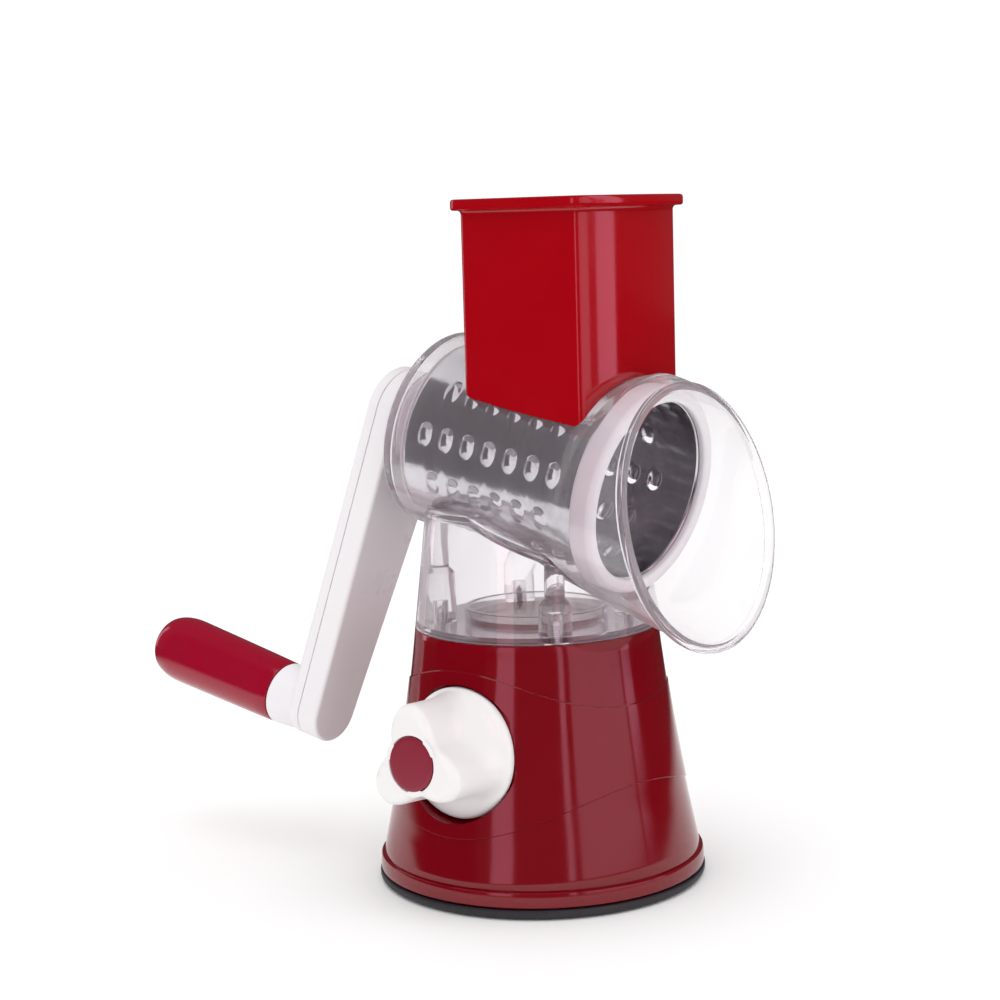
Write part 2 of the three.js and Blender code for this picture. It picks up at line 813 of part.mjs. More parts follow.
// The latch slides along the arm, and its body clears the pocket's floor and the cover.
function latchBox(grow, travel) {
  const half = latch.width / 2 + grow;
  const low = crank.parting + latch.coverGap - grow;
  return block(
    drive.width / 2 - latch.bite - grow, latch.bodyEnd + travel + grow, -half, half,
    low, low + latch.depth + 2 * grow,
  );
}

function makeCrank() {
  const pocketFloor = crank.inner - crank.floor;
  const pocketStart = crank.hubRadius + crank.socketWall;
  const springEnd = latch.bodyEnd + spring.length + 2 * gap;
  const partingGap = crank.parting + gap / 2;
  const coverFace = crank.parting - gap / 2;

  const arm = prism(armOutline(0), partingGap, crank.inner, undefined, 9);
  const pocket = prism(armOutline(crank.wall, pocketStart), crank.parting - 1, pocketFloor, undefined, 8);
  const stop = block(springEnd, springEnd + 2, -crank.endRadius, crank.endRadius, crank.parting + 0.4,
    pocketFloor + 0.5).intersect(arm);
  const bosses = coverScrew.at.map((x) =>
    rod(coverScrew.boss, partingGap, pocketFloor + 0.5, coarse, shift(x, 0, 0)),
  );
  const threads = coverScrew.at.map((x) =>
    rod(coverScrew.radius + gap, crank.parting - 1, pocketFloor - 0.6, coarse, shift(x, 0, 0)),
  );
  const bearing = rod(journal.radius, crank.inner - 1, journal.end, fine);
  const socket = prism(roundedSquare(socketWidth, drive.corner + gap), crank.parting - 1, journal.end + 1,
    undefined, 4);
  const latchWay = latchBox(runningGap, latch.travel);
  const body = together(cut(arm, pocket), stop, ...bosses, bearing);
  add(crankGroup, "crank_arm", cut(body, socket, latchWay, ...threads), whitePlastic);

  const plate = new THREE.ExtrudeGeometry(armOutline(0), {
    depth: coverFace - crank.outer - crank.edge,
    bevelEnabled: true,
    bevelThickness: crank.edge,
    bevelSize: crank.edge,
    bevelOffset: -crank.edge,
    bevelSegments: 2,
    curveSegments: 9,
  }).translate(0, 0, crank.outer + crank.edge);
  const trim = prism(armOutline(-1), coverFace, coverFace + 2 * crank.edge, undefined, 6);
  const gripPlace = shift(crank.length, 0, 0);
  const collar = turned([
    [0, coverFace - 1],
    [crank.endRadius - 0.4, coverFace - 1],
    [crank.endRadius - 0.2, crank.outer],
    [crank.endRadius + 0.2, (crank.outer + crank.collarEnd) / 2],
    [crank.collarRadius, crank.collarEnd],
    [0, crank.collarEnd],
  ], medium, gripPlace);
  const stemRecess = rod(crank.hubRadius - crank.wall, drive.tip - crank.stemRoom, crank.parting + 1, medium);
  const axleHole = rod(axle.radius + gap, crank.collarEnd - 1, crank.parting + 1, medium, gripPlace);
  const tabSlot = block(
    latch.tabStart - runningGap, latch.tabStart + latch.tabLong + latch.travel + runningGap,
    -latch.width / 2 - runningGap, latch.width / 2 + runningGap,
    crank.outer - 1, crank.parting + 1,
  );
  const screwHoles = coverScrew.at.flatMap((x) => {
    const place = shift(x, 0, 0);
    const seat = crank.outer + coverScrew.headHeight + gap;
    return [
      rod(coverScrew.radius + gap, crank.outer - 1, crank.parting + 1, coarse, place),
      rod(coverScrew.headRadius + gap, crank.outer - 1, seat, coarse, place),
    ];
  });
  const cover = cut(together(solid(plate), collar), trim, stemRecess, axleHole, tabSlot, ...screwHoles);
  add(crankGroup, "crank_cover", cover, whitePlastic);

  coverScrew.at.forEach((x, i) => {
    const place = shift(x, 0, 0);
    const seat = crank.outer + coverScrew.headHeight;
    const length = pocketFloor - 1.2 - seat;
    const { radius, headRadius, headHeight } = coverScrew;
    addScrew(crankGroup, `cover_screw_${i + 1}`, seat, 1, radius, headRadius, headHeight, length, place);
  });
}

// ---- Latch that holds the drum's stem in the crank ----

function makeLatch() {
  const half = latch.width / 2;
  const bodyBack = crank.parting + latch.coverGap + latch.depth;
  const toothHalf = drive.windowLong / 2 - 0.8;
  const bodyStart = drive.width / 2 + 1.2;
  const body = block(bodyStart, latch.bodyEnd, -half, half, crank.parting + latch.coverGap, bodyBack);
  const toothTop = Math.min(drive.windowAt + toothHalf, bodyBack);
  const tooth = block(drive.width / 2 - latch.bite, bodyStart + 1, 1 - half, half - 1,
    drive.windowAt - toothHalf, toothTop);
  const tab = block(latch.tabStart, latch.tabStart + latch.tabLong, -half, half,
    crank.outer - latch.tabProud, crank.parting + 2);
  add(crankGroup, "latch_slider", together(body, tooth, tab), redPlastic);

  const springAt = new THREE.Matrix4()
    .makeRotationY(Math.PI / 2)
    .setPosition(latch.bodyEnd + gap, 0, crank.parting + latch.coverGap + latch.depth / 2);
  const coil = tube(spring.radius, spring.radius - spring.wall, 0, spring.length, coarse, springAt);
  add(crankGroup, "latch_spring", coil, steel);
}

// ---- Turning grip ----

function makeGrip() {
  const boreRadius = axle.radius + runningGap;
  const recessFloor = grip.end + grip.recessDepth;
  const body = turned([
    [boreRadius, grip.start],
    [grip.neckRadius - 0.5, grip.start],
    [grip.neckRadius, grip.start - 0.5],
    [(grip.neckRadius + grip.bellyRadius) / 2 + 0.15, (grip.start + grip.waist) / 2],
    [grip.bellyRadius, grip.waist],
    [grip.bellyRadius - 0.9, grip.waist - 4.5],
    [grip.bellyRadius - 2.4, grip.end + 2.2],
    [grip.endRadius + 0.6, grip.end + 0.4],
    [grip.endRadius, grip.end],
    [grip.recessRadius, grip.end],
    [grip.recessRadius, recessFloor],
    [boreRadius, recessFloor],
  ], medium);
  add(gripGroup, "grip", body, redPlastic);

  const axleEnd = recessFloor + gap;
  const headFace = crank.parting + gap;
  const pin = turned([
    [0, headFace + axle.headThickness],
    [axle.headRadius, headFace + axle.headThickness],
    [axle.headRadius, headFace],
    [axle.radius, headFace],
    [axle.radius, axleEnd],
    [axle.threadRadius + gap, axleEnd],
    [axle.threadRadius + gap, axleEnd + axle.threadDepth],
    [0, axleEnd + axle.threadDepth],
  ], medium);
  add(gripGroup, "grip_axle", pin, steel);

  const washerFace = recessFloor - gap;
  const { washerRadius, washerThickness, headRadius, headHeight, plugThickness } = endScrew;
  const washer = tube(washerRadius, axle.threadRadius + gap, washerFace - washerThickness, washerFace, medium);
  add(gripGroup, "grip_washer", washer, steel);
  const seat = washerFace - washerThickness - gap;
  addScrew(gripGroup, "grip_screw", seat, 1, axle.threadRadius, headRadius, headHeight, axle.threadDepth - 1);
  const plug = turned([
    [0, grip.end - 0.7],
    [grip.recessRadius - 2, grip.end - 0.5],
    [grip.recessRadius - gap, grip.end + 0.2],
    [grip.recessRadius - gap, grip.end + plugThickness],
    [0, grip.end + plugThickness],
  ], medium);
  add(gripGroup, "grip_plug", plug, whitePlastic);
}

makeSuction();
makeBase();
makeKnob();
makeHousing();
makeHopper();
makeDrum();
makeCrank();
makeLatch();
makeGrip();

export default grater;
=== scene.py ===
# Looks for a hand-cranked drum grater on a suction base.
# Metres in the frame's axes; the makers below work in millimetres and scale at the end.
from math import asin, atan2, cos, pi, radians, sin

import bmesh
import bpy
from mathutils import Matrix, Vector


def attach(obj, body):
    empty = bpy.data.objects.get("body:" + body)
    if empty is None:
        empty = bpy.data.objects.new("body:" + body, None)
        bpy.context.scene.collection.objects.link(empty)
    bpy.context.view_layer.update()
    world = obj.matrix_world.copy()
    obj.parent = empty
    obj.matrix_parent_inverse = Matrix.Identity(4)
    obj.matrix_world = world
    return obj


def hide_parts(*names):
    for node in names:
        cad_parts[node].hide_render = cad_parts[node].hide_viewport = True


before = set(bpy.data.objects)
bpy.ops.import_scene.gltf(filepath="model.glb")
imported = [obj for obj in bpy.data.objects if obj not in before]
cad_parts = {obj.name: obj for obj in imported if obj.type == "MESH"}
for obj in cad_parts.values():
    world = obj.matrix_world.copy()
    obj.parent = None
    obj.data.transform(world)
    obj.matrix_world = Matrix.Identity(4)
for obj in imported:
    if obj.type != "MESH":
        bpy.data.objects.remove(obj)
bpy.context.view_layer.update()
mm = 0.001

# Frames of the turning pieces, in millimetres: local Z lies on the piece's own axis.
layout = {
    "drumHeight": 144.4,
    "drumFall": 12,
    "knobHeight": 47.8,
    "knobClimb": 3.6,
    "crankSwing": 14.6,
    "crankLength": 108.5,
}
drumFrame = Matrix.Translation((0, 0, layout["drumHeight"])) @ Matrix.Rotation(radians(90 + layout["drumFall"]),
    4, "Y")
crankFrame = drumFrame @ Matrix.Rotation(radians(-layout["crankSwing"]), 4, "Z")
gripFrame = crankFrame @ Matrix.Translation((layout["crankLength"], 0, 0))
knobFrame = Matrix.Translation((0, 0,
    layout["knobHeight"])) @ Matrix.Rotation(radians(90 - layout["knobClimb"]), 4, "X")
print("frame loaded")

# ---- Camera and studio ----

view = {
    "turn": 36.944,
    "distance": 713.61,
    "height": 223.809,
    "pitch": -7.5657,
    "yaw": 0.9081,
    "roll": -1.5964,
    "lens": 76.532,
}


def makeCamera():
    turn, pitch, roll = radians(view["turn"]), radians(view["pitch"]), radians(view["roll"])
    look = turn + radians(view["yaw"])
    forward = Vector((-sin(look) * cos(pitch), cos(look) * cos(pitch), sin(pitch)))
    level = Vector((cos(look), sin(look), 0))
    rise = level.cross(forward)
    right = level * cos(roll) + rise * sin(roll)
    up = right.cross(forward)
    data = bpy.data.cameras.new("camera")
    data.lens = view["lens"]
    data.sensor_width = 36
    camera = bpy.data.objects.new("camera", data)
    bpy.context.scene.collection.objects.link(camera)
    place = Vector((view["distance"] * sin(turn), -view["distance"] * cos(turn), view["height"])) * mm
    camera.matrix_world = Matrix((
        (right.x, up.x, -forward.x, place.x),
        (right.y, up.y, -forward.y, place.y),
        (right.z, up.z, -forward.z, place.z),
        (0, 0, 0, 1),
    ))
    bpy.context.scene.camera = camera


studio = {
    "skyStrength": 1.05,
    "mirroredSky": 0.08,
    "mirroredInGlass": 0.9,
    "floorColor": (0.98, 0.98, 0.98, 1),
    # Reach in metres over which the floor's painted dark reflection fades in.
    "brightFloor": (0.28, 0.40),
    # Panels stand round the object: azimuth, distance, width, bottom, top, strength and colour.
    # Azimuth 0 is the outlet's side and -90 the lock knob's.
    "panels": {
        "rightWindow": (0, 1.30, 1.25, 0.03, 1.10, 1.5, (1.0, 0.62, 0.76)),
        "rightEdge": (-33, 1.30, 0.10, 0.03, 1.10, 2.6, (1.0, 0.50, 0.66)),
        "hopperEdge": (33, 1.30, 0.24, 0.03, 1.10, 2.6, (1.0, 0.50, 0.70)),
        "frontStrip": (-82, 1.30, 0.36, 0.03, 0.90, 2.6, (1.0, 0.45, 0.60)),
        "leftRim": (178, 1.30, 0.22, 0.03, 0.90, 2.2, (1.0, 0.70, 0.85)),
    },
    "overhead": (-60, 74, 1.5, 1.0, 1.0, 1.0),
    # A dark card that only mirrors show: azimuth, distance, width, bottom, top.
    "card": (-127, 0.34, 0.36, 0.0, 0.75),
}


def placeFacing(azimuth, elevation, distance, target):
    a, e = radians(azimuth), radians(elevation)
    outward = Vector((cos(a) * cos(e), sin(a) * cos(e), sin(e)))
    turn = outward.to_track_quat("Z", "Y").to_matrix().to_4x4()
    return Matrix.Translation(target + outward * distance) @ turn


def mirroredOnly(tree):
    # 1 on a ray mirrored by an outside surface, 0 on light, on the eye's rays and behind clear plastic.
    path = tree.nodes.new("ShaderNodeLightPath")
    outside = tree.nodes.new("ShaderNodeMath")
    outside.operation = "LESS_THAN"
    outside.inputs[1].default_value = 0.5
    both = tree.nodes.new("ShaderNodeMath")
    both.operation = "MULTIPLY"
    tree.links.new(path.outputs["Transmission Depth"], outside.inputs[0])
    tree.links.new(outside.outputs["Value"], both.inputs[0])
    tree.links.new(path.outputs["Is Glossy Ray"], both.inputs[1])
    return both, path


def makeSky():
    # White to the eye and as light, dimmer where it is mirrored, as in a darkened studio.
    world = bpy.data.worlds.new("studioSky")
    bpy.context.scene.world = world
    world.use_nodes = True
    tree = world.node_tree
    sky = tree.nodes["Background"]
    sky.inputs["Color"].default_value = (1, 1, 1, 1)
    both, path = mirroredOnly(tree)
    inGlass = tree.nodes.new("ShaderNodeMapRange")
    inGlass.inputs["To Min"].default_value = studio["skyStrength"]
    inGlass.inputs["To Max"].default_value = studio["mirroredInGlass"]
    level = tree.nodes.new("ShaderNodeMix")
    level.inputs["B"].default_value = studio["mirroredSky"]
    tree.links.new(path.outputs["Is Glossy Ray"], inGlass.inputs["Value"])
    tree.links.new(inGlass.outputs["Result"], level.inputs["A"])
    tree.links.new(both.outputs["Value"], level.inputs["Factor"])
    tree.links.new(level.outputs["Result"], sky.inputs["Strength"])


def addPanel(name, matrix, width, height, strength, color):
    data = bpy.data.lights.new(name, "AREA")
    data.shape = "RECTANGLE"
    data.size, data.size_y = width, height
    data.energy = strength * pi * width * height
    data.color = color
    light = bpy.data.objects.new(name, data)
    bpy.context.scene.collection.objects.link(light)
    light.matrix_world = matrix
    light.visible_camera = False
    light.visible_transmission = False
    return light


def makeLights():
    for name, (azimuth, distance, width, bottom, top, strength, color) in studio["panels"].items():
        place = placeFacing(azimuth, 0, distance, Vector((0, 0, (bottom + top) / 2)))
        addPanel(name, place, width, top - bottom, strength, color).visible_diffuse = False
    azimuth, elevation, distance, width, height, strength = studio["overhead"]
    addPanel("overhead", placeFacing(azimuth, elevation, distance, Vector((0, 0, 0.12))), width, height,
        strength, (1, 1, 1))


def stageSheet(name, matrix, width, height, material):
    data = bpy.data.meshes.new(name)
    x, y = width / 2, height / 2
    data.from_pydata([(-x, -y, 0), (x, -y, 0), (x, y, 0), (-x, y, 0)], [], [(0, 1, 2, 3)])
    data.materials.append(material)
    sheet = bpy.data.objects.new(name, data)
    bpy.context.scene.collection.objects.link(sheet)
    sheet.matrix_world = matrix
    return sheet


def makeFloor():
    pale = bpy.data.materials.new("paleFloor")
    pale.use_nodes = True
    tree = pale.node_tree
    shader = tree.nodes["Principled BSDF"]
    shader.inputs["Roughness"].default_value = 0.9
    shader.inputs["Specular IOR Level"].default_value = 0
    # Mirrors see the floor bright near the object and dark further off: a painted dark reflection mixed into the
    # floor's colour.
    both, _ = mirroredOnly(tree)
    place = tree.nodes.new("ShaderNodeTexCoord")
    reach = tree.nodes.new("ShaderNodeVectorMath")
    reach.operation = "LENGTH"
    fade = tree.nodes.new("ShaderNodeMapRange")
    fade.inputs["From Min"].default_value, fade.inputs["From Max"].default_value = studio["brightFloor"]
    share = tree.nodes.new("ShaderNodeMath")
    share.operation = "MULTIPLY"
    mix = tree.nodes.new("ShaderNodeMix")
    mix.data_type = "RGBA"
    mix.inputs["A"].default_value = studio["floorColor"]
    mix.inputs["B"].default_value = (0.03, 0.03, 0.03, 1)
    link = tree.links.new
    link(place.outputs["Object"], reach.inputs[0])
    link(reach.outputs["Value"], fade.inputs["Value"])
    link(fade.outputs["Result"], share.inputs[0])
    link(both.outputs["Value"], share.inputs[1])
    link(share.outputs["Value"], mix.inputs["Factor"])
    link(mix.outputs["Result"], shader.inputs["Base Color"])
    stageSheet("floor", Matrix.Translation((0, 0, -0.0002)), 8, 8, pale)

    dark = bpy.data.materials.new("darkCard")
    dark.use_nodes = True
    card = dark.node_tree.nodes["Principled BSDF"]
    card.inputs["Base Color"].default_value = (0.015, 0.013, 0.018, 1)
    card.inputs["Roughness"].default_value = 1
    card.inputs["Specular IOR Level"].default_value = 0
    azimuth, distance, width, bottom, top = studio["card"]
    sheet = stageSheet("darkCard", placeFacing(azimuth, 0, distance, Vector((0, 0, (bottom + top) / 2))),
                       width, top - bottom, dark)
    sheet.visible_camera = False
    sheet.visible_diffuse = False
    sheet.visible_shadow = False


makeCamera()
makeSky()
makeLights()
makeFloor()
bpy.context.scene.view_settings.view_transform = "Standard"
print("studio ready")

# ---- Shared shader groups ----


def newGroup(name, inputs, outputs):
    group = bpy.data.node_groups.new(name, "ShaderNodeTree")
    for label, kind, value in inputs:
        socket = group.interface.new_socket(label, in_out="INPUT", socket_type=kind)
        if value is not None:
            socket.default_value = value
    for label, kind in outputs:
        group.interface.new_socket(label, in_out="OUTPUT", socket_type=kind)
    return group, group.nodes.new("NodeGroupInput"), group.nodes.new("NodeGroupOutput")


def addNode(tree, kind, values=None, **settings):
    node = tree.nodes.new(kind)
    for key, value in settings.items():
        setattr(node, key, value)
    for key, value in (values or {}).items():
        node.inputs[key].default_value = value
    return node


def makeToneGroup():
    # Two close tones mixed by slow clouds, a little darker in worn patches.
    group, given, out = newGroup(
        "mouldedTone",
        [("Tone", "NodeSocketColor", (1, 1, 1, 1)), ("Other Tone", "NodeSocketColor", (1, 1, 1, 1)),
         ("Cloud Scale", "NodeSocketFloat", 30.0)],
        [("Color", "NodeSocketColor"), ("Mask", "NodeSocketFloat")],
    )
    place = addNode(group, "ShaderNodeTexCoord")
    cloud = addNode(group, "ShaderNodeTexNoise", {"Detail": 3.0, "Roughness": 0.55})
    mix = addNode(group, "ShaderNodeMix", data_type="RGBA")
    link = group.links.new
    link(place.outputs["Object"], cloud.inputs["Vector"])
    link(given.outputs["Cloud Scale"], cloud.inputs["Scale"])
    link(cloud.outputs["Fac"], mix.inputs["Factor"])
    link(given.outputs["Tone"], mix.inputs["A"])
    link(given.outputs["Other Tone"], mix.inputs["B"])
    link(mix.outputs["Result"], out.inputs["Color"])
    link(cloud.outputs["Fac"], out.inputs["Mask"])
    return group


def makeGrainGroup():
    # Fine moulding grain with sparse hairline scratches, for roughness and bump.
    group, given, out = newGroup(
        "mouldGrain",
        [("Grain Scale", "NodeSocketFloat", 900.0), ("Low", "NodeSocketFloat", 0.1),
        ("High", "NodeSocketFloat", 0.2)],
        [("Roughness", "NodeSocketFloat"), ("Height", "NodeSocketFloat")],
    )
    place = addNode(group, "ShaderNodeTexCoord")
    grain = addNode(group, "ShaderNodeTexNoise", {"Detail": 2.0})
    smear = addNode(group, "ShaderNodeTexNoise", {"Scale": 22.0, "Detail": 4.0, "Roughness": 0.7})
    stretch = addNode(group, "ShaderNodeMapping", {"Scale": (40, 40, 900)})
    hairs = addNode(group, "ShaderNodeTexNoise", {"Scale": 1.0, "Detail": 1.0})
    pick = addNode(group, "ShaderNodeMapRange", {"From Min": 0.66, "From Max": 0.72, "To Min": 0.0, "To Max": 0.35})
    spread = addNode(group, "ShaderNodeMapRange", {"From Min": 0.3, "From Max": 0.7})
    total = addNode(group, "ShaderNodeMath", operation="SUBTRACT")
    link = group.links.new
    link(place.outputs["Object"], grain.inputs["Vector"])
    link(place.outputs["Object"], smear.inputs["Vector"])
    link(place.outputs["Object"], stretch.inputs["Vector"])
    link(stretch.outputs["Vector"], hairs.inputs["Vector"])
    link(given.outputs["Grain Scale"], grain.inputs["Scale"])
    link(smear.outputs["Fac"], spread.inputs["Value"])
    link(given.outputs["Low"], spread.inputs["To Min"])
    link(given.outputs["High"], spread.inputs["To Max"])
    link(spread.outputs["Result"], out.inputs["Roughness"])
    link(hairs.outputs["Fac"], pick.inputs["Value"])
    link(grain.outputs["Fac"], total.inputs[0])
    link(pick.outputs["Result"], total.inputs[1])
    link(total.outputs["Value"], out.inputs["Height"])
    return group


def makeBrushGroup():
    # Brushed lines that run round the drum, over a cloudy grey tint.
    group, given, out = newGroup(
        "brushedLines",
        [("Line Scale", "NodeSocketFloat", 1.0), ("Low", "NodeSocketFloat", 0.1), ("High", "NodeSocketFloat", 0.3)],
        [("Color", "NodeSocketColor"), ("Roughness", "NodeSocketFloat"), ("Height", "NodeSocketFloat")],
    )
    place = addNode(group, "ShaderNodeTexCoord")
    stretch = addNode(group, "ShaderNodeMapping", {"Rotation": (0, radians(12), 0), "Scale": (2600, 60, 60)})
    lines = addNode(group, "ShaderNodeTexNoise", {"Detail": 3.0, "Roughness": 0.6})
    cloud = addNode(group, "ShaderNodeTexNoise", {"Scale": 60.0, "Detail": 3.0})
    spread = addNode(group, "ShaderNodeMapRange", {"From Min": 0.3, "From Max": 0.7})
    tint = addNode(group, "ShaderNodeValToRGB")
    tint.color_ramp.elements[0].color = (0.60, 0.60, 0.63, 1)
    tint.color_ramp.elements[0].position = 0.25
    tint.color_ramp.elements[1].color = (0.80, 0.80, 0.82, 1)
    tint.color_ramp.elements[1].position = 0.75
    link = group.links.new
    link(place.outputs["Object"], stretch.inputs["Vector"])
    link(place.outputs["Object"], cloud.inputs["Vector"])
    link(stretch.outputs["Vector"], lines.inputs["Vector"])
    link(given.outputs["Line Scale"], lines.inputs["Scale"])
    link(lines.outputs["Fac"], spread.inputs["Value"])
    link(given.outputs["Low"], spread.inputs["To Min"])
    link(given.outputs["High"], spread.inputs["To Max"])
    link(cloud.outputs["Fac"], tint.inputs["Fac"])
    link(tint.outputs["Color"], out.inputs["Color"])
    link(spread.outputs["Result"], out.inputs["Roughness"])
    link(lines.outputs["Fac"], out.inputs["Height"])
    return group


toneGroup = makeToneGroup()
grainGroup = makeGrainGroup()
brushGroup = makeBrushGroup()


def placeGroup(tree, group, values):
    node = tree.nodes.new("ShaderNodeGroup")
    node.node_tree = group
    for key, value in values.items():
        node.inputs[key].default_value = value
    return node


def plasticMaterial(name, tone, otherTone, low, high, bump=0.03, cloudScale=30, sheen=0.0, subsurface=0.0,
        coat=0.0):
    material = bpy.data.materials.new(name)
    material.use_nodes = True
    tree = material.node_tree
    shader = tree.nodes["Principled BSDF"]
    tones = placeGroup(tree, toneGroup, {"Tone": (*tone, 1), "Other Tone": (*otherTone, 1),
        "Cloud Scale": cloudScale})
    grain = placeGroup(tree, grainGroup, {"Grain Scale": 1400.0, "Low": low, "High": high})
    relief = addNode(tree, "ShaderNodeBump", {"Strength": bump, "Distance": 0.0002})
    tree.links.new(tones.outputs["Color"], shader.inputs["Base Color"])
    tree.links.new(grain.outputs["Roughness"], shader.inputs["Roughness"])
    tree.links.new(grain.outputs["Height"], relief.inputs["Height"])
    tree.links.new(relief.outputs["Normal"], shader.inputs["Normal"])
    shader.inputs["IOR"].default_value = 1.5
    shader.inputs["Coat Weight"].default_value = coat
    shader.inputs["Coat Roughness"].default_value = 0.05
    shader.inputs["Sheen Weight"].default_value = sheen
    if subsurface:
        shader.inputs["Subsurface Weight"].default_value = subsurface
        shader.inputs["Subsurface Radius"].default_value = (1.0, 0.8, 0.8)
        shader.inputs["Subsurface Scale"].default_value = 0.002
    return material


def clearMaterial():
    # Clear moulding with a trace of milkiness at its edges, and light let straight through for shadows.
    material = bpy.data.materials.new("clearMoulding")
    material.use_nodes = True
    tree = material.node_tree
    shader = tree.nodes["Principled BSDF"]
    shader.inputs["Metallic"].default_value = 0
    shader.inputs["Transmission Weight"].default_value = 1
    shader.inputs["IOR"].default_value = 1.42
    tones = placeGroup(tree, toneGroup, {"Tone": (0.99, 0.975, 0.985, 1), "Other Tone": (0.975, 0.965, 0.975, 1),
                                         "Cloud Scale": 18.0})
    grain = placeGroup(tree, grainGroup, {"Grain Scale": 300.0, "Low": 0.01, "High": 0.06})
    relief = addNode(tree, "ShaderNodeBump", {"Strength": 0.02, "Distance": 0.0002})
    milk = addNode(tree, "ShaderNodeBsdfDiffuse", {"Color": (0.90, 0.86, 0.90, 1)})
    turn = addNode(tree, "ShaderNodeLayerWeight", {"Blend": 0.25})
    share = addNode(tree, "ShaderNodeMapRange", {"To Min": 0.03, "To Max": 0.35})
    milky = addNode(tree, "ShaderNodeMixShader")
    path = addNode(tree, "ShaderNodeLightPath")
    through = addNode(tree, "ShaderNodeBsdfTransparent", {"Color": (0.95, 0.93, 0.95, 1)})
    mix = addNode(tree, "ShaderNodeMixShader")
    out = tree.nodes["Material Output"]
    link = tree.links.new
    link(tones.outputs["Color"], shader.inputs["Base Color"])
    link(grain.outputs["Roughness"], shader.inputs["Roughness"])
    link(grain.outputs["Height"], relief.inputs["Height"])
    link(relief.outputs["Normal"], shader.inputs["Normal"])
    link(turn.outputs["Facing"], share.inputs["Value"])
    link(share.outputs["Result"], milky.inputs["Fac"])
    link(shader.outputs["BSDF"], milky.inputs[1])
    link(milk.outputs["BSDF"], milky.inputs[2])
    link(path.outputs["Is Shadow Ray"], mix.inputs["Fac"])
    link(milky.outputs["Shader"], mix.inputs[1])
    link(through.outputs["BSDF"], mix.inputs[2])
    link(mix.outputs["Shader"], out.inputs["Surface"])
    return material


def steelMaterial(name, low, high, lineScale, bump):
    material = bpy.data.materials.new(name)
    material.use_nodes = True
    tree = material.node_tree
    shader = tree.nodes["Principled BSDF"]
    shader.inputs["Metallic"].default_value = 1
    shader.inputs["Anisotropic"].default_value = 0.3
    brush = placeGroup(tree, brushGroup, {"Line Scale": lineScale, "Low": low, "High": high})
    relief = addNode(tree, "ShaderNodeBump", {"Strength": bump, "Distance": 0.0001})
    link = tree.links.new
    link(brush.outputs["Color"], shader.inputs["Base Color"])
    link(brush.outputs["Roughness"], shader.inputs["Roughness"])
    link(brush.outputs["Height"], relief.inputs["Height"])
    link(relief.outputs["Normal"], shader.inputs["Normal"])
    return material


# The base's red is the hopper's red at about half the value: painted shade for the lower light falling on the base.
shadedRedShell = plasticMaterial("shadedRedShell", (0.19, 0.0005, 0.005), (0.17, 0.0004, 0.005), 0.07, 0.14, bump=0.02)
redHopper = plasticMaterial("redHopper", (0.37, 0.0006, 0.004), (0.34, 0.0005, 0.005), 0.06, 0.12, bump=0.015)
redCap = plasticMaterial("redCap", (0.27, 0.008, 0.030), (0.23, 0.006, 0.026), 0.25, 0.4)
redGrip = plasticMaterial("redGrip", (0.33, 0.001, 0.020), (0.29, 0.001, 0.018), 0.1, 0.2, bump=0.03)
whiteShell = plasticMaterial("whiteShell", (0.84, 0.82, 0.86), (0.87, 0.84, 0.84), 0.24, 0.38, bump=0.04)
whiteKnob = plasticMaterial("whiteKnob", (0.87, 0.86, 0.86), (0.87, 0.83, 0.83), 0.24, 0.36, bump=0.04)
blackRubber = plasticMaterial("blackRubber", (0.012, 0.012, 0.016), (0.022, 0.02, 0.026), 0.45, 0.65, bump=0.25,
    cloudScale=60)
clearMoulding = clearMaterial()
drumSteel = steelMaterial("drumSteel", 0.10, 0.22, 1.0, 0.03)
plainSteel = steelMaterial("plainSteel", 0.2, 0.38, 2.0, 0.06)
print("materials ready")

# ---- Mesh makers ----


def toObject(name, points, faces, material, body, place=None, smoothAngle=35):
    data = bpy.data.meshes.new(name)
    move = place or Matrix.Identity(4)
    data.from_pydata([tuple((move @ Vector(p)) * mm) for p in points], [], faces)
    data.validate()
    piece = bpy.data.objects.new(name, data)
    bpy.context.scene.collection.objects.link(piece)
    if material:
        data.materials.append(material)
    tidyMesh(data, smoothAngle)
    if body:
        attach(piece, body)
    return piece


def tidyMesh(data, smoothAngle):
    work = bmesh.new()
    work.from_mesh(data)
    bmesh.ops.remove_doubles(work, verts=work.verts, dist=1e-7)
    bmesh.ops.recalc_face_normals(work, faces=work.faces)
    work.to_mesh(data)
    work.free()
    data.shade_smooth()
    data.set_sharp_from_angle(angle=radians(smoothAngle))


def turnedParts(profile, segments):
    # A loop of [radius, height] pairs turned about Z; a pair on the axis closes to one point.
    points, rings = [], []
    for radius, height in profile:
        if radius < 1e-6:
            rings.append([len(points)])
            points.append((0, 0, height))
            continue
        start = len(points)
        for i in range(segments):
            angle = 2 * pi * i / segments
            points.append((radius * cos(angle), radius * sin(angle), height))
        rings.append(list(range(start, start + segments)))
    closed = len(rings[0]) > 1 or len(rings[-1]) > 1
    pairs = list(zip(rings, rings[1:])) + ([(rings[-1], rings[0])] if closed else [])
    faces = []
    for low, high in pairs:
        for i in range(segments):
            j = (i + 1) % segments
            if len(low) == 1 and len(high) == 1:
                continue
            if len(low) == 1:
                faces.append((low[0], high[j], high[i]))
            elif len(high) == 1:
                faces.append((low[i], low[j], high[0]))
            else:
                faces.append((low[i], low[j], high[j], high[i]))
    return points, faces


def turned(name, profile, segments, material=None, body=None, place=None, smoothAngle=35):
    points, faces = turnedParts(profile, segments)
    return toObject(name, points, faces, material, body, place, smoothAngle)


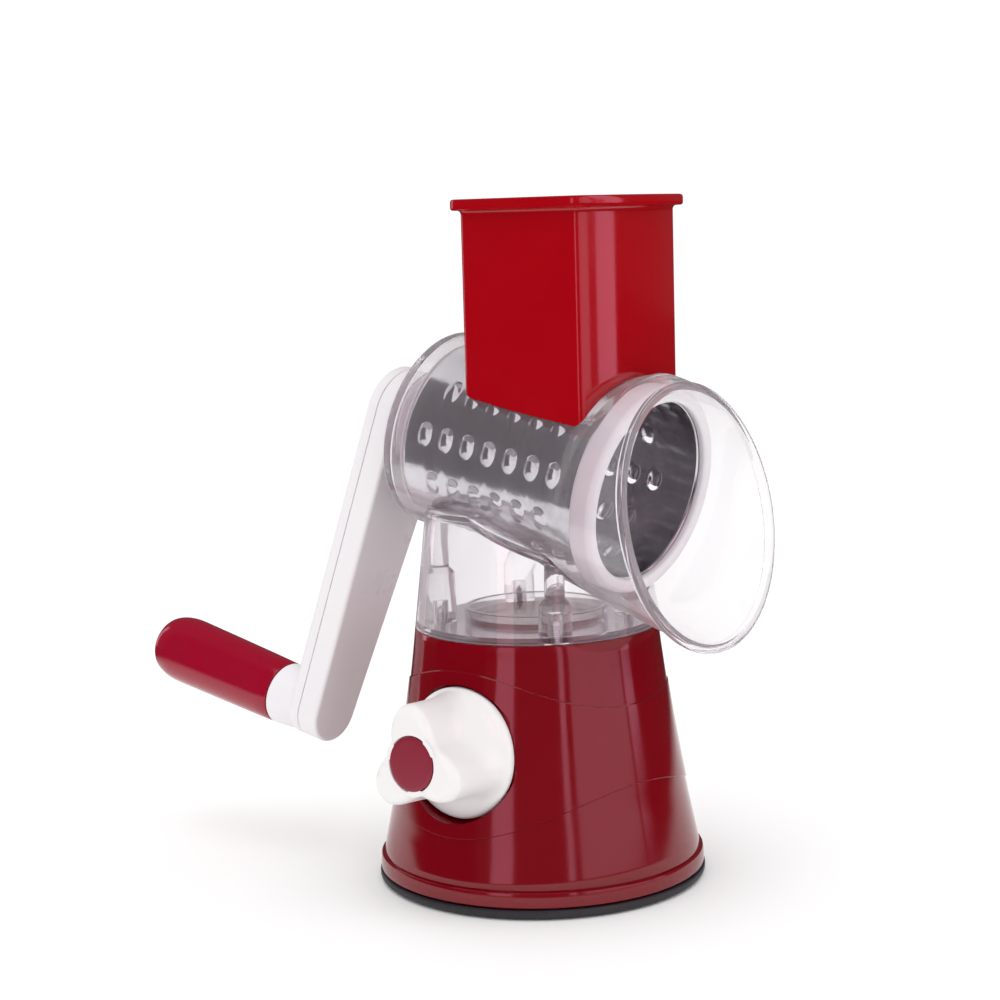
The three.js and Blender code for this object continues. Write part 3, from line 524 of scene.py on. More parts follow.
def softened(profile, radius, steps=4):
    # Rounds each corner of a profile loop that is off the axis.
    out = []
    count = len(profile)
    for i, (r, z) in enumerate(profile):
        here = Vector((r, z))
        before, after = Vector(profile[i - 1]), Vector(profile[(i + 1) % count])
        ends = i in (0, count - 1)
        if r < 1e-6 or (ends and (profile[0][0] < 1e-6 or profile[-1][0] < 1e-6)):
            out.append((r, z))
            continue
        back, on = (before - here), (after - here)
        reach = min(radius, back.length * 0.45, on.length * 0.45)
        a, b = here + back.normalized() * reach, here + on.normalized() * reach
        for k in range(steps + 1):
            t = k / steps
            p = a * (1 - t) ** 2 + here * 2 * t * (1 - t) + b * t ** 2
            out.append((p.x, p.y))
    return out


def skinned(name, rings, material=None, body=None, place=None, smoothAngle=35, closedLoop=False):
    # A skin over rings of points, capped flat at both ends unless the rings form a loop.
    count = len(rings[0])
    points = [p for ring in rings for p in ring]
    faces = []
    spans = len(rings) if closedLoop else len(rings) - 1
    for k in range(spans):
        low, high = k * count, ((k + 1) % len(rings)) * count
        for i in range(count):
            j = (i + 1) % count
            faces.append((low + i, low + j, high + j, high + i))
    if not closedLoop:
        faces.append(tuple(range(count)))
        last = (len(rings) - 1) * count
        faces.append(tuple(last + i for i in range(count)))
    return toObject(name, points, faces, material, body, place, smoothAngle)


def slab(name, outline, levels, material=None, body=None, place=None, smoothAngle=35):
    # outline(inset) gives the edge; levels are (inset, height) pairs from one face to the other.
    rings = [[(x, y, height) for x, y in outline(inset)] for inset, height in levels]
    return skinned(name, rings, material, body, place, smoothAngle)


def roundLevels(low, high, lowRadius, highRadius, steps=4):
    levels = []
    for k in range(steps + 1):
        t = pi / 2 * k / steps
        levels.append((lowRadius * (1 - sin(t)), low + lowRadius * (1 - cos(t))))
    for k in range(steps + 1):
        t = pi / 2 * k / steps
        levels.append((highRadius * (1 - cos(t)), high - highRadius * (1 - sin(t))))
    return levels


def boxPiece(name, low, high, place=None):
    points = [(x, y, z) for z in (low[2], high[2]) for y in (low[1], high[1]) for x in (low[0], high[0])]
    faces = [(0, 2, 3, 1), (4, 5, 7, 6), (0, 1, 5, 4), (2, 6, 7, 3), (0, 4, 6, 2), (1, 3, 7, 5)]
    return toObject(name, points, faces, None, None, place)


def combined(target, others, operation):
    # Joins or cuts with other pieces, then removes them.
    for other in others:
        step = target.modifiers.new(operation.lower(), "BOOLEAN")
        step.operation = operation
        step.solver = "EXACT"
        step.object = other
    bpy.context.view_layer.update()
    graph = bpy.context.evaluated_depsgraph_get()
    made = bpy.data.meshes.new_from_object(target.evaluated_get(graph), depsgraph=graph)
    target.modifiers.clear()
    old = target.data
    target.data = made
    bpy.data.meshes.remove(old)
    for other in others:
        bpy.data.objects.remove(other, do_unlink=True)
    return target


def finished(piece, material, body, bevel=0.0, smoothAngle=32, segments=2):
    # Last cleaning of a cut piece: one material, smooth faces, softened edges.
    piece.data.materials.clear()
    piece.data.materials.append(material)
    for face in piece.data.polygons:
        face.material_index = 0
    tidyMesh(piece.data, smoothAngle)
    if bevel:
        edge = piece.modifiers.new("softEdge", "BEVEL")
        edge.width = bevel * mm
        edge.segments = segments
        edge.limit_method = "ANGLE"
        edge.angle_limit = radians(40)
        edge.harden_normals = False
    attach(piece, body)
    return piece


# ---- Suction pad ----

pad = {"radius": 56, "rim": 3.3, "boss": 20, "bossTop": 8, "seat": 4.7, "seatRadius": 16.3, "segments": 192}


def makePad():
    profile = softened([
        (0, 0),
        (pad["radius"] - 1.6, 0),
        (pad["radius"], 1.0),
        (pad["radius"], pad["rim"]),
        (pad["boss"] + 2, pad["rim"]),
        (pad["boss"], pad["rim"] + 1),
        (pad["boss"] - 1, pad["bossTop"]),
        (pad["seatRadius"], pad["bossTop"]),
        (pad["seatRadius"], pad["seat"]),
        (0, pad["seat"]),
    ], 0.9)
    piece = turned("suctionFoot", profile, pad["segments"], blackRubber, "base")
    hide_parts("suction_pad")


# ---- Red base with its two waved steps ----

base = {
    "foot": 3.6,
    "bandTop": 8.9,
    "bandRadius": 55.4,
    "footRadius": 55.7,
    "coneFoot": 54.5,
    "coneFootHeight": 9.6,
    "topRadius": 41.4,
    "topHeight": 86.6,
    "wall": 2.6,
    "bow": 0.55,
    "relief": 0.38,
    "reliefWidth": 0.35,
    "segments": 240,
}
knobSeat = {"distance": 42, "radius": 22.6, "wall": 2.6, "back": 39.2}


def coneRadius(z):
    slope = (base["coneFoot"] - base["topRadius"]) / (base["topHeight"] - base["bandTop"])
    return base["topRadius"] + (base["topHeight"] - z) * slope


def upperWave(angle):
    return (69.5 - 2.44 * cos(angle) - 3.37 * sin(angle) - 1.8 * cos(2 * angle) - 1.18 * sin(2 * angle)
            + 2.9 * sin(3 * angle))


def lowerWave(angle):
    return (31.8 + 1.24 * cos(angle) + 1.13 * sin(angle) + 4.93 * cos(2 * angle) - 1.07 * sin(2 * angle)
            + 1.06 * cos(3 * angle) - 1.63 * sin(3 * angle))


def makeBase():
    segments = base["segments"]
    deck = base["topHeight"] - 3

    def skin(z, depth=0.0):
        share = (z - base["coneFootHeight"]) / (base["topHeight"] - base["coneFootHeight"])
        bow = base["bow"] * sin(pi * min(max(share, 0), 1))
        return coneRadius(z) - bow - depth

    # The band between the waves stands proud; above and below it the wall steps back.
    rows = []
    rows.append(lambda a: (base["footRadius"] - 0.8, base["foot"]))
    rows.append(lambda a: (base["footRadius"] - 0.1, base["foot"] + 0.5))
    rows.append(lambda a: (base["footRadius"], base["foot"] + 1.2))
    rows.append(lambda a: (base["bandRadius"] + 0.1, base["bandTop"] - 0.9))
    rows.append(lambda a: (base["bandRadius"] - 0.1, base["bandTop"] - 0.25))
    rows.append(lambda a: (base["bandRadius"] - 0.5, base["bandTop"]))
    rows.append(lambda a: (skin(base["coneFootHeight"]) - 0.25, base["bandTop"] + 0.15))
    rows.append(lambda a: (skin(base["coneFootHeight"], 0.1), base["coneFootHeight"]))
    lowSteps, midSteps, highSteps = 8, 14, 6
    for k in range(1, lowSteps + 1):
        rows.append(lambda a, t=k / lowSteps: between(a, t, base["coneFootHeight"],
            lowerWave(a) - base["reliefWidth"], base["relief"]))
    for k in range(midSteps + 1):
        rows.append(lambda a, t=k / midSteps: between(a, t, lowerWave(a), upperWave(a) - base["reliefWidth"], 0.0))
    for k in range(highSteps + 1):
        rows.append(lambda a, t=k / highSteps: between(a, t, upperWave(a), base["topHeight"] - 0.5, base["relief"]))
    inner = base["topRadius"] - base["wall"]

    def between(a, t, z0, z1, depth):
        z = z0 + (z1 - z0) * t
        fade = 1.0
        if depth and z0 == base["coneFootHeight"]:
            fade = min(1.0, 0.25 + t)
        if depth and z1 == base["topHeight"] - 0.5:
            fade = max(0.0, 1 - t ** 2)
        return skin(z, depth * fade), z

    rows.append(lambda a: (base["topRadius"] - 0.15, base["topHeight"] - 0.12))
    rows.append(lambda a: (base["topRadius"] - 0.5, base["topHeight"]))
    rows.append(lambda a: (inner + 0.3, base["topHeight"]))
    rows.append(lambda a: (inner, base["topHeight"] - 0.3))
    rows.append(lambda a: (inner, deck))
    for radius, height in ((22.5, deck), (22.3, deck + 0.3), (22.3, 89.8), (21.9, 90.2)):
        rows.append(lambda a, r=radius, h=height: (r, h))
    rings = []
    for row in rows:
        ring = []
        for i in range(segments):
            angle = 2 * pi * i / segments
            radius, height = row(angle)
            ring.append((radius * cos(angle), radius * sin(angle), height))
        rings.append(ring)
    # Down inside: boss hollow, guide tube, deck underside and inner wall.
    guide, guideWall, bossWall, deckWall = 9.0, 2.6, 2.5, 2.6
    innerProfile = [
        (guide, 90.2 - bossWall), (guide, 30), (guide + guideWall, 30), (guide + guideWall, 90.2 - bossWall),
        (22.3 - bossWall, 90.2 - bossWall), (22.3 - bossWall, deck - deckWall),
        (coneRadius(deck - deckWall) - base["wall"] - base["bow"], deck - deckWall),
    ]
    for k in range(1, 6):
        z = (deck - deckWall) + (base["bandTop"] - deck + deckWall) * k / 6
        innerProfile.append((skin(z) - base["wall"], z))
    innerProfile += [(coneRadius(base["bandTop"]) - base["wall"], base["bandTop"]),
        (base["footRadius"] - base["wall"], base["foot"])]
    points = [p for ring in rings for p in ring]
    faces = []
    for k in range(len(rings) - 1):
        for i in range(segments):
            j = (i + 1) % segments
            faces.append((k * segments + i, k * segments + j, (k + 1) * segments + j, (k + 1) * segments + i))
    topCentre = len(points)
    points.append((0, 0, 90.2))
    last = (len(rings) - 1) * segments
    faces += [(last + i, last + (i + 1) % segments, topCentre) for i in range(segments)]
    centre = len(points)
    points.append((0, 0, 90.2 - bossWall))
    first = None
    for n, (radius, height) in enumerate(innerProfile):
        ringStart = len(points)
        for i in range(segments):
            angle = 2 * pi * i / segments
            points.append((radius * cos(angle), radius * sin(angle), height))
        for i in range(segments):
            j = (i + 1) % segments
            if n == 0:
                faces.append((centre, ringStart + j, ringStart + i))
            else:
                faces.append((first + i, first + j, ringStart + j, ringStart + i))
        first = ringStart
    for i in range(segments):
        j = (i + 1) % segments
        faces.append((first + i, first + j, j, i))
    shell = toObject("redBase", points, faces, shadedRedShell, None)

    # Seat for the knob: a ring wall round a round pocket, cut square to the knob's axis.
    seatWall = turned("seatWall", [(0, knobSeat["back"]), (knobSeat["radius"] + 2.2, knobSeat["back"]),
                                   (knobSeat["radius"] + 2.2, 70), (0, 70)], 128, place=knobFrame)
    inner = turned("innerCone", [(0, 10), (skin(10) - 0.8, 10)] + [(skin(z) - 0.8, z) for z in (25, 40, 55, 70)]
                   + [(skin(80) - 0.8, 80), (0, 80)], 160)
    combined(seatWall, [inner], "INTERSECT")
    combined(shell, [seatWall], "UNION")
    pocket = turned("pocket", [(0, knobSeat["distance"]), (knobSeat["radius"], knobSeat["distance"]),
                               (knobSeat["radius"], 75), (0, 75)], 128, place=knobFrame)
    hole = turned("shaftHole", [(0, 6), (5.3, 6), (5.3, 50), (0, 50)], 48, place=knobFrame)
    combined(shell, [pocket, hole], "DIFFERENCE")
    finished(shell, shadedRedShell, "base", smoothAngle=28)
    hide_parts("base_shell")


# ---- Lock knob ----

knob = {
    "back": 42.3,
    "flangeRadius": 21.7,
    "flangeRim": 44.4,
    "face": 68.6,
    "lobe": 15.0,
    "swing": 4.2,
    "lobeAngle": 100,
    "cap": 8.85,
    "segments": 180,
}


def lobeRadius(angle, size, swing):
    return size + swing * cos(3 * (angle - radians(knob["lobeAngle"])))


def makeKnob():
    flange = knob["flangeRadius"]

    def shape(radiusAt, height):
        ring = []
        for i in range(knob["segments"]):
            angle = 2 * pi * i / knob["segments"]
            radius = radiusAt(angle)
            ring.append((radius * cos(angle), radius * sin(angle),
                height if not callable(height) else height(angle)))
        return ring

    rings = [
        shape(lambda a: flange - 0.6, knob["back"]),
        shape(lambda a: flange - 0.1, knob["back"] + 0.4),
        shape(lambda a: flange, knob["back"] + 0.9),
        shape(lambda a: flange, knob["flangeRim"] - 0.4),
        shape(lambda a: flange - 0.25, knob["flangeRim"] + 0.25),
        shape(lambda a: flange - 0.9, knob["flangeRim"] + 0.9),
    ]
    # The flange's dome runs into the lobed grip through a wide fillet.

    def wall(a):
        return lobeRadius(a, knob["lobe"], knob["swing"])

    def domeHeight(a, t, lift):
        lobes = 6.0 - 2.6 * cos(3 * (a - radians(knob["lobeAngle"])))
        return domeFrom + 4.2 * t * (1 - 0.35 * t) + lobes * lift * 0.75

    domeFrom = knob["flangeRim"] + 0.9
    filletSteps = 12
    for k in range(1, filletSteps + 1):
        t = k / filletSteps
        pull = t ** 0.9
        lift = t ** 2.4
        rings.append(shape(
            lambda a, p=pull: (flange - 0.9) * (1 - p) + min(wall(a) + 0.35, flange - 0.9) * p,
            lambda a, t=t, lift=lift: domeHeight(a, t, lift),
        ))
    top = knob["face"]
    edge = 3.4
    for z in (56.0, 60.0, top - edge):
        rings.append(shape(lambda a, z=z: wall(a) + 0.1 * (60 - z) / 10, z))
    for k in range(1, 8):
        t = pi / 2 * k / 7
        rings.append(shape(lambda a, t=t: wall(a) - edge * (1 - cos(t)), top - edge * (1 - sin(t))))
    rings.append(shape(lambda a: knob["cap"] + 1.6, top))
    rings.append(shape(lambda a: knob["cap"] + 0.5, top - 0.05))
    rings.append(shape(lambda a: knob["cap"] + 0.3, top - 0.3))
    rings.append(shape(lambda a: knob["cap"] + 0.3, top - 2.5))
    body = skinned("lockKnob", rings, whiteKnob, None, knobFrame)
    bore = turned("bore", [(0, 40), (5.3, 40), (5.3, 59.6), (1.7, 59.6), (1.7, 63.1), (4, 63.1), (4, 69),
        (0, 69)], 64, place=knobFrame)
    combined(body, [bore], "DIFFERENCE")
    finished(body, whiteKnob, "knob", smoothAngle=40)
    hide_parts("lock_knob")

    cap = turned("knobCap", softened([(0, top - 2.2), (knob["cap"], top - 2.2), (knob["cap"], top + 0.1),
        (knob["cap"] - 1.2, top + 0.26),
                             (0, top + 0.34)], 0.35), 96, redCap, "knob", knobFrame)
    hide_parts("knob_cap")


# ---- Screws ----

screwLook = {"segments": 48, "recess": 0.42, "slotWidth": 0.26}


def makeScrew(name, node, body, place, seat, pointing, radius, headRadius, headHeight, length):
    def along(distance):
        return seat + pointing * distance

    pitch = radius * 0.5
    profile = [(0, along(-headHeight)), (headRadius * 0.55, along(-headHeight)),
        (headRadius * 0.85, along(-headHeight * 0.8)),
               (headRadius, along(-headHeight * 0.35)), (headRadius, along(0)), (radius, along(0))]
    turns = int((length - radius * 1.4) / pitch)
    for k in range(turns):
        at = (k + 0.5) * pitch
        profile += [(radius * 0.8, along(at)), (radius, along(at + pitch * 0.5))]
    profile += [(radius * 0.75, along(length - radius * 0.8)), (0, along(length))]
    screw = turned(name, profile, screwLook["segments"], plainSteel, None, place)
    half, wide = headRadius * 0.6, headRadius * screwLook["slotWidth"] / 2
    lowZ, highZ = sorted((along(-headHeight - 0.5), along(-headHeight * (1 - screwLook["recess"]) + 0.1)))
    bars = [boxPiece(name + "CutA", (-half, -wide, lowZ), (half, wide, highZ), place),
            boxPiece(name + "CutB", (-wide, -half, lowZ), (wide, half, highZ), place)]
    combined(screw, bars, "DIFFERENCE")
    finished(screw, plainSteel, body, smoothAngle=30)
    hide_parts(node)


# ---- Clear housing ----

barrel = {
    "radius": 33.8, "wall": 1.9, "rear": -37.8, "rearWall": 2.4, "rearEdge": 1.4,
    "flareStart": 10, "flareEnd": 33, "flareLow": 36.9,
    "seatStart": 42, "seatLow": 38.1, "seatHigh": 37.2, "seatEnd": 44, "seatRadius": 38.4,
    "bearingEnd": -47, "bearingWall": 2.6, "bearingRadius": 16.2, "segments": 160,
}
mouth = {"reach": 67.3, "height": 127.3, "radius": 42.8, "lean": 10.2, "lip": 1.0, "lipDepth": 3.0}
skirt = {
    "foot": 86.9, "floor": 1.8, "wall": 2.6, "topHeight": 127.5, "topRadius": 36.6, "edge": 1.2,
    "shelf": 2.2, "slopeHeight": 127.2, "slope": 0.45,
    "collar": 22.6, "collarWall": 1.8, "collarTop": 93.2, "spigot": 38.5, "spigotWall": 1.8, "spigotDepth": 2.4,
}
posts = {"across": 24, "along": 22, "foot": 5.6, "neck": 3.3, "rearStep": 105.5, "frontStep": 99}


def ringAt(x, z, fall, radius, segments):
    up = Vector((sin(radians(fall)), 0, cos(radians(fall))))
    centre = Vector((x, 0, z))
    return [tuple(centre + up * (radius * cos(2 * pi * i / segments)) + Vector((0,
        radius * sin(2 * pi * i / segments), 0)))
            for i in range(segments)]


def axisRing(distance, low, high, segments):
    # A ring square to the drum's axis, with its reach below and above the axis.
    fall = radians(layout["drumFall"])
    drop = (low - high) / 2
    x = distance * cos(fall) - drop * sin(fall)
    z = layout["drumHeight"] - distance * sin(fall) - drop * cos(fall)
    return ringAt(x, z, layout["drumFall"], (low + high) / 2, segments)


def smoothStep(low, high, value):
    t = max(0.0, min(1.0, (value - low) / (high - low)))
    return t * t * (3 - 2 * t)


def barrelReach(distance):
    # The underside widens first, and the top only where the drum's ring sits.
    radius, start, end = barrel["radius"], barrel["flareStart"], barrel["flareEnd"]
    low = radius + (barrel["flareLow"] - radius) * (max(0.0, distance - start) / (end - start))
    if distance > end:
        share = (distance - end) / (barrel["seatStart"] - end)
        low = barrel["flareLow"] + (barrel["seatLow"] - barrel["flareLow"]) * min(1.0, share)
    high = radius + (barrel["seatHigh"] - radius) * smoothStep(end, barrel["seatStart"], distance)
    if distance > barrel["seatStart"]:
        share = (distance - barrel["seatStart"]) / (barrel["seatEnd"] - barrel["seatStart"])
        low += (barrel["seatRadius"] - barrel["seatLow"]) * share
        high += (barrel["seatRadius"] - barrel["seatHigh"]) * share
    return low, high


def bellRings(offset, segments, steps=10, beyond=False):
    fall = radians(layout["drumFall"])
    startX = barrel["seatEnd"] * cos(fall)
    startZ = layout["drumHeight"] - barrel["seatEnd"] * sin(fall)
    rings = []
    for k in range(1, steps + 1):
        share = k / steps
        rings.append(ringAt(
            startX + (mouth["reach"] - startX) * share,
            startZ + (mouth["height"] - startZ) * share,
            layout["drumFall"] - (layout["drumFall"] + mouth["lean"]) * share ** 0.8,
            barrel["seatRadius"] + (mouth["radius"] - barrel["seatRadius"]) * share ** 1.15 + offset,
            segments,
        ))
    if beyond:
        out = Vector((cos(radians(mouth["lean"])), 0, sin(radians(mouth["lean"])))) * 2
        rings.append([tuple(Vector(p) + out) for p in rings[-1]])
    return rings


def barrelSolid(name, offset, rear, rearEdge, segments, beyond=False):
    plain = barrel["radius"] + offset
    rings = []
    turns = 5 if rearEdge else 1
    for k in range(turns):
        t = pi / 2 * k / 4
        reach = plain - rearEdge * (1 - sin(t))
        rings.append(axisRing(rear + rearEdge * (1 - cos(t)), reach, reach, segments))
    for distance in (-20, -5, 8, 14, 20, 26, 30, 33, 34.5, 36, 37.5, 39, 40.5, 42, 44):
        low, high = barrelReach(distance)
        rings.append(axisRing(distance, low + offset, high + offset, segments))
    rings += bellRings(offset, segments, beyond=beyond)
    return skinned(name, rings)


def skirtRadius(z):
    lean = (coneRadius(skirt["foot"]) - skirt["topRadius"]) / (skirt["topHeight"] - skirt["foot"])
    return skirt["topRadius"] + (skirt["topHeight"] - z) * lean


def shelfHeight(x):
    return min(skirt["topHeight"], skirt["slopeHeight"] - skirt["slope"] * x)


def skirtSolid(name, foot, inset, drop, segments):
    # Leaning wall up to a rounded edge, then a shelf that slopes down towards the mouth.
    edge = skirt["edge"]
    angles = [2 * pi * i / segments for i in range(segments)]
    tops = []
    for a in angles:
        z = skirt["topHeight"]
        for _ in range(12):
            z = shelfHeight(skirtRadius(z) * cos(a))
        tops.append(z)
    rings = []
    for k in range(6):
        ring = []
        for a, top in zip(angles, tops):
            z = foot + (top - drop - edge - foot) * k / 5
            r = skirtRadius(z) - inset
            ring.append((r * cos(a), r * sin(a), z))
        rings.append(ring)
    for k in range(1, 6):
        t = pi / 2 * k / 5
        ring = []
        for a, top in zip(angles, tops):
            r = skirtRadius(top) - inset - edge * (1 - cos(t))
            ring.append((r * cos(a), r * sin(a), top - drop - edge * (1 - sin(t))))
        rings.append(ring)
    for r in (30, 20, 10, 0.5):
        rings.append([(r * cos(a), r * sin(a), shelfHeight(r * cos(a)) - drop) for a in angles])
    return skinned(name, rings)


def hopperOutline(inset, corner=None, frontCorner=None):
    # Rectangle with a bulged front, from the rear left corner round; all corners are arcs.
    x0, x1, y = -7.8 + inset, 41.2 - inset, 27.7 - inset
    rear = max(4 - inset, 0.8) if corner is None else corner
    front = max(2.5 - inset, 0.8) if frontCorner is None else frontCorner
    bulge = 3.5
    points = []

    def arc(cx, cy, radius, start, end, steps=8):
        for k in range(steps + 1):
            t = radians(start + (end - start) * k / steps)
            points.append((cx + radius * cos(t), cy + radius * sin(t)))

    arc(x0 + rear, -y + rear, rear, 180, 270)
    arc(x1 - front, -y + front, front, 270, 348)
    steps = 24
    for k in range(1, steps):
        t = k / steps
        yy = (-y + front) + 2 * (y - front) * t
        points.append((x1 + bulge * (1 - (2 * t - 1) ** 2), yy))
    arc(x1 - front, y - front, front, 12, 90)
    arc(x0 + rear, y - rear, rear, 90, 180)
    return points


def makeHousing():
    segments = barrel["segments"]
    deck = 83.6
    foot, floorTop = skirt["foot"], skirt["foot"] + skirt["floor"]
    collar, collarOut, collarTop = skirt["collar"], skirt["collar"] + skirt["collarWall"], skirt["collarTop"]
    spigot, spigotIn = skirt["spigot"], skirt["spigot"] - skirt["spigotWall"]
    spigotFoot = skirt["foot"] - skirt["spigotDepth"]
    # Section of the floor, with the spigot in the base's rim and the collar round its boss.
    section = [
        (collar, deck + 0.3), (collarOut, deck + 0.3), (collarOut, foot), (spigotIn, foot), (spigotIn, spigotFoot),
        (spigot, spigotFoot), (spigot, foot), (spigot, foot + 1), (collarOut, foot + 1),
        (collarOut, collarTop - 0.3), (collarOut - 0.3, collarTop), (collar + 0.2, collarTop),
        (collar, collarTop - 0.2),
    ]
    rings = []
    for r, z in section:
        angles = [2 * pi * i / segments for i in range(segments)]
        rings.append([(r * cos(a), r * sin(a), z) for a in angles])
    body = skinned("clearHousing", rings, closedLoop=True)
    shell = skirtSolid("skirt", foot, 0, 0, segments)
    combined(shell, [skirtSolid("skirtRoom", floorTop, skirt["wall"], skirt["shelf"], segments),
                     turned("bossHole", [(0, 80), (collar, 80), (collar, 95), (0, 95)], segments)], "DIFFERENCE")

    parts = [shell, barrelSolid("barrelOut", 0, barrel["rear"], barrel["rearEdge"], segments)]
    for front in (-1, 1):
        for side in (-1, 1):
            step = posts["rearStep"] if front < 0 else posts["frontStep"]
            place = Matrix.Translation((front * posts["across"], side * posts["along"], 0))
            parts.append(turned("post", softened([(0, deck + 0.3), (posts["foot"], deck + 0.3),
                (posts["foot"] - 0.4, step), (posts["neck"], step + 1.8),
                                         (posts["neck"] - 0.3, layout["drumHeight"] - 4),
                                         (0, layout["drumHeight"] - 4)], 0.5, 2), 40, place=place))
    parts.append(slab("neckOut", lambda inset: hopperOutline(2.5 + inset),
        [(0, layout["drumHeight"]), (0, 177.6), (0.4, 178)]))
    bearing = barrel["bearingRadius"]
    parts.append(turned("bearing", [(0, barrel["bearingEnd"]), (bearing + barrel["bearingWall"] - 0.4,
        barrel["bearingEnd"]),
        (bearing + barrel["bearingWall"], barrel["bearingEnd"] + 0.4),
                                    (bearing + barrel["bearingWall"], barrel["rear"] + 1),
                                    (0, barrel["rear"] + 1)], 96,
                                    place=drumFrame))
    lipPlace = Matrix.Translation((mouth["reach"], 0,
        mouth["height"])) @ Matrix.Rotation(radians(90 - mouth["lean"]), 4, "Y")
    radius, lip, depth = mouth["radius"], mouth["lip"], mouth["lipDepth"]
    parts.append(turned("lip", softened([(radius - 1.2, -depth), (radius - 0.3, -depth - 0.4),
        (radius + lip, -depth * 0.55), (radius + lip, -0.1),
                                (radius - 1.2, -0.1)], 0.5, 3), segments, place=lipPlace))
    combined(body, parts, "UNION")
    inside = barrelSolid("barrelIn", -barrel["wall"], barrel["rear"] + barrel["rearWall"], 1.2, segments,
        beyond=True)
    throat = slab("throat", lambda inset: hopperOutline(4.3), [(0, layout["drumHeight"] + 8), (0, 182)])
    bore = turned("bore", [(0, -50), (bearing, -50), (bearing, -32), (0, -32)], 96, place=drumFrame)
    holes = [turned("hole", [(0, 80), (1.8, 80), (1.8, 95.9), (0, 95.9)], 24,
                    place=Matrix.Translation((a * posts["across"], b * posts["along"], 0))) for a in (-1,
                    1) for b in (-1, 1)]
    combined(body, [inside, throat, bore] + holes, "DIFFERENCE")
    finished(body, clearMoulding, "base", smoothAngle=30)
    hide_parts("clear_housing")


# ---- Hopper ----

hopper = {"top": 230, "foot": 148.4, "wall": 2.2, "rim": 3.6, "reach": 3.4}


def makeHopper():
    top, foot, wall, rim, reach = (hopper[k] for k in ("top", "foot", "wall", "rim", "reach"))
    sides = [(0, foot + (top - rim - 2 - foot) * k / 9) for k in range(10)]
    levels = sides + [(0, top - rim - 1.2), (-0.25, top - rim - 0.5), (-0.8, top - rim - 0.1),
        (-reach + 0.7, top - rim),
              (-reach + 0.2, top - rim + 0.25), (-reach, top - rim + 0.8), (-reach, top - 0.9),
              (-reach + 0.25, top - 0.3), (-reach + 0.9, top),
              (wall - 1.0, top), (wall - 0.3, top - 0.3), (wall, top - 1.0), (wall, top - 2)]
    levels += [(wall, z) for _, z in reversed(sides)]
    rings = [[(x, y, z) for x, y in hopperOutline(inset, 4 - min(inset, 2.2), 2.5 - min(inset, 1.2))] for inset,
        z in levels]
    piece = skinned("redHopper", rings, closedLoop=True)
    combined(piece, [barrelSolid("barrelCut", 0.3, barrel["rear"], 0, 160)], "DIFFERENCE")
    finished(piece, redHopper, "base", smoothAngle=35)
    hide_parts("hopper")


# ---- Drum ----

drum = {"radius": 30.4, "sheet": 0.6, "rear": -30.9, "front": 47.2, "rows": 12, "first": 22.5, "pitch": 8.92,
    "start": -22.5, "long": 7}
tooth = {"halfWide": 2.75, "halfLong": 3.9, "rise": 1.3}


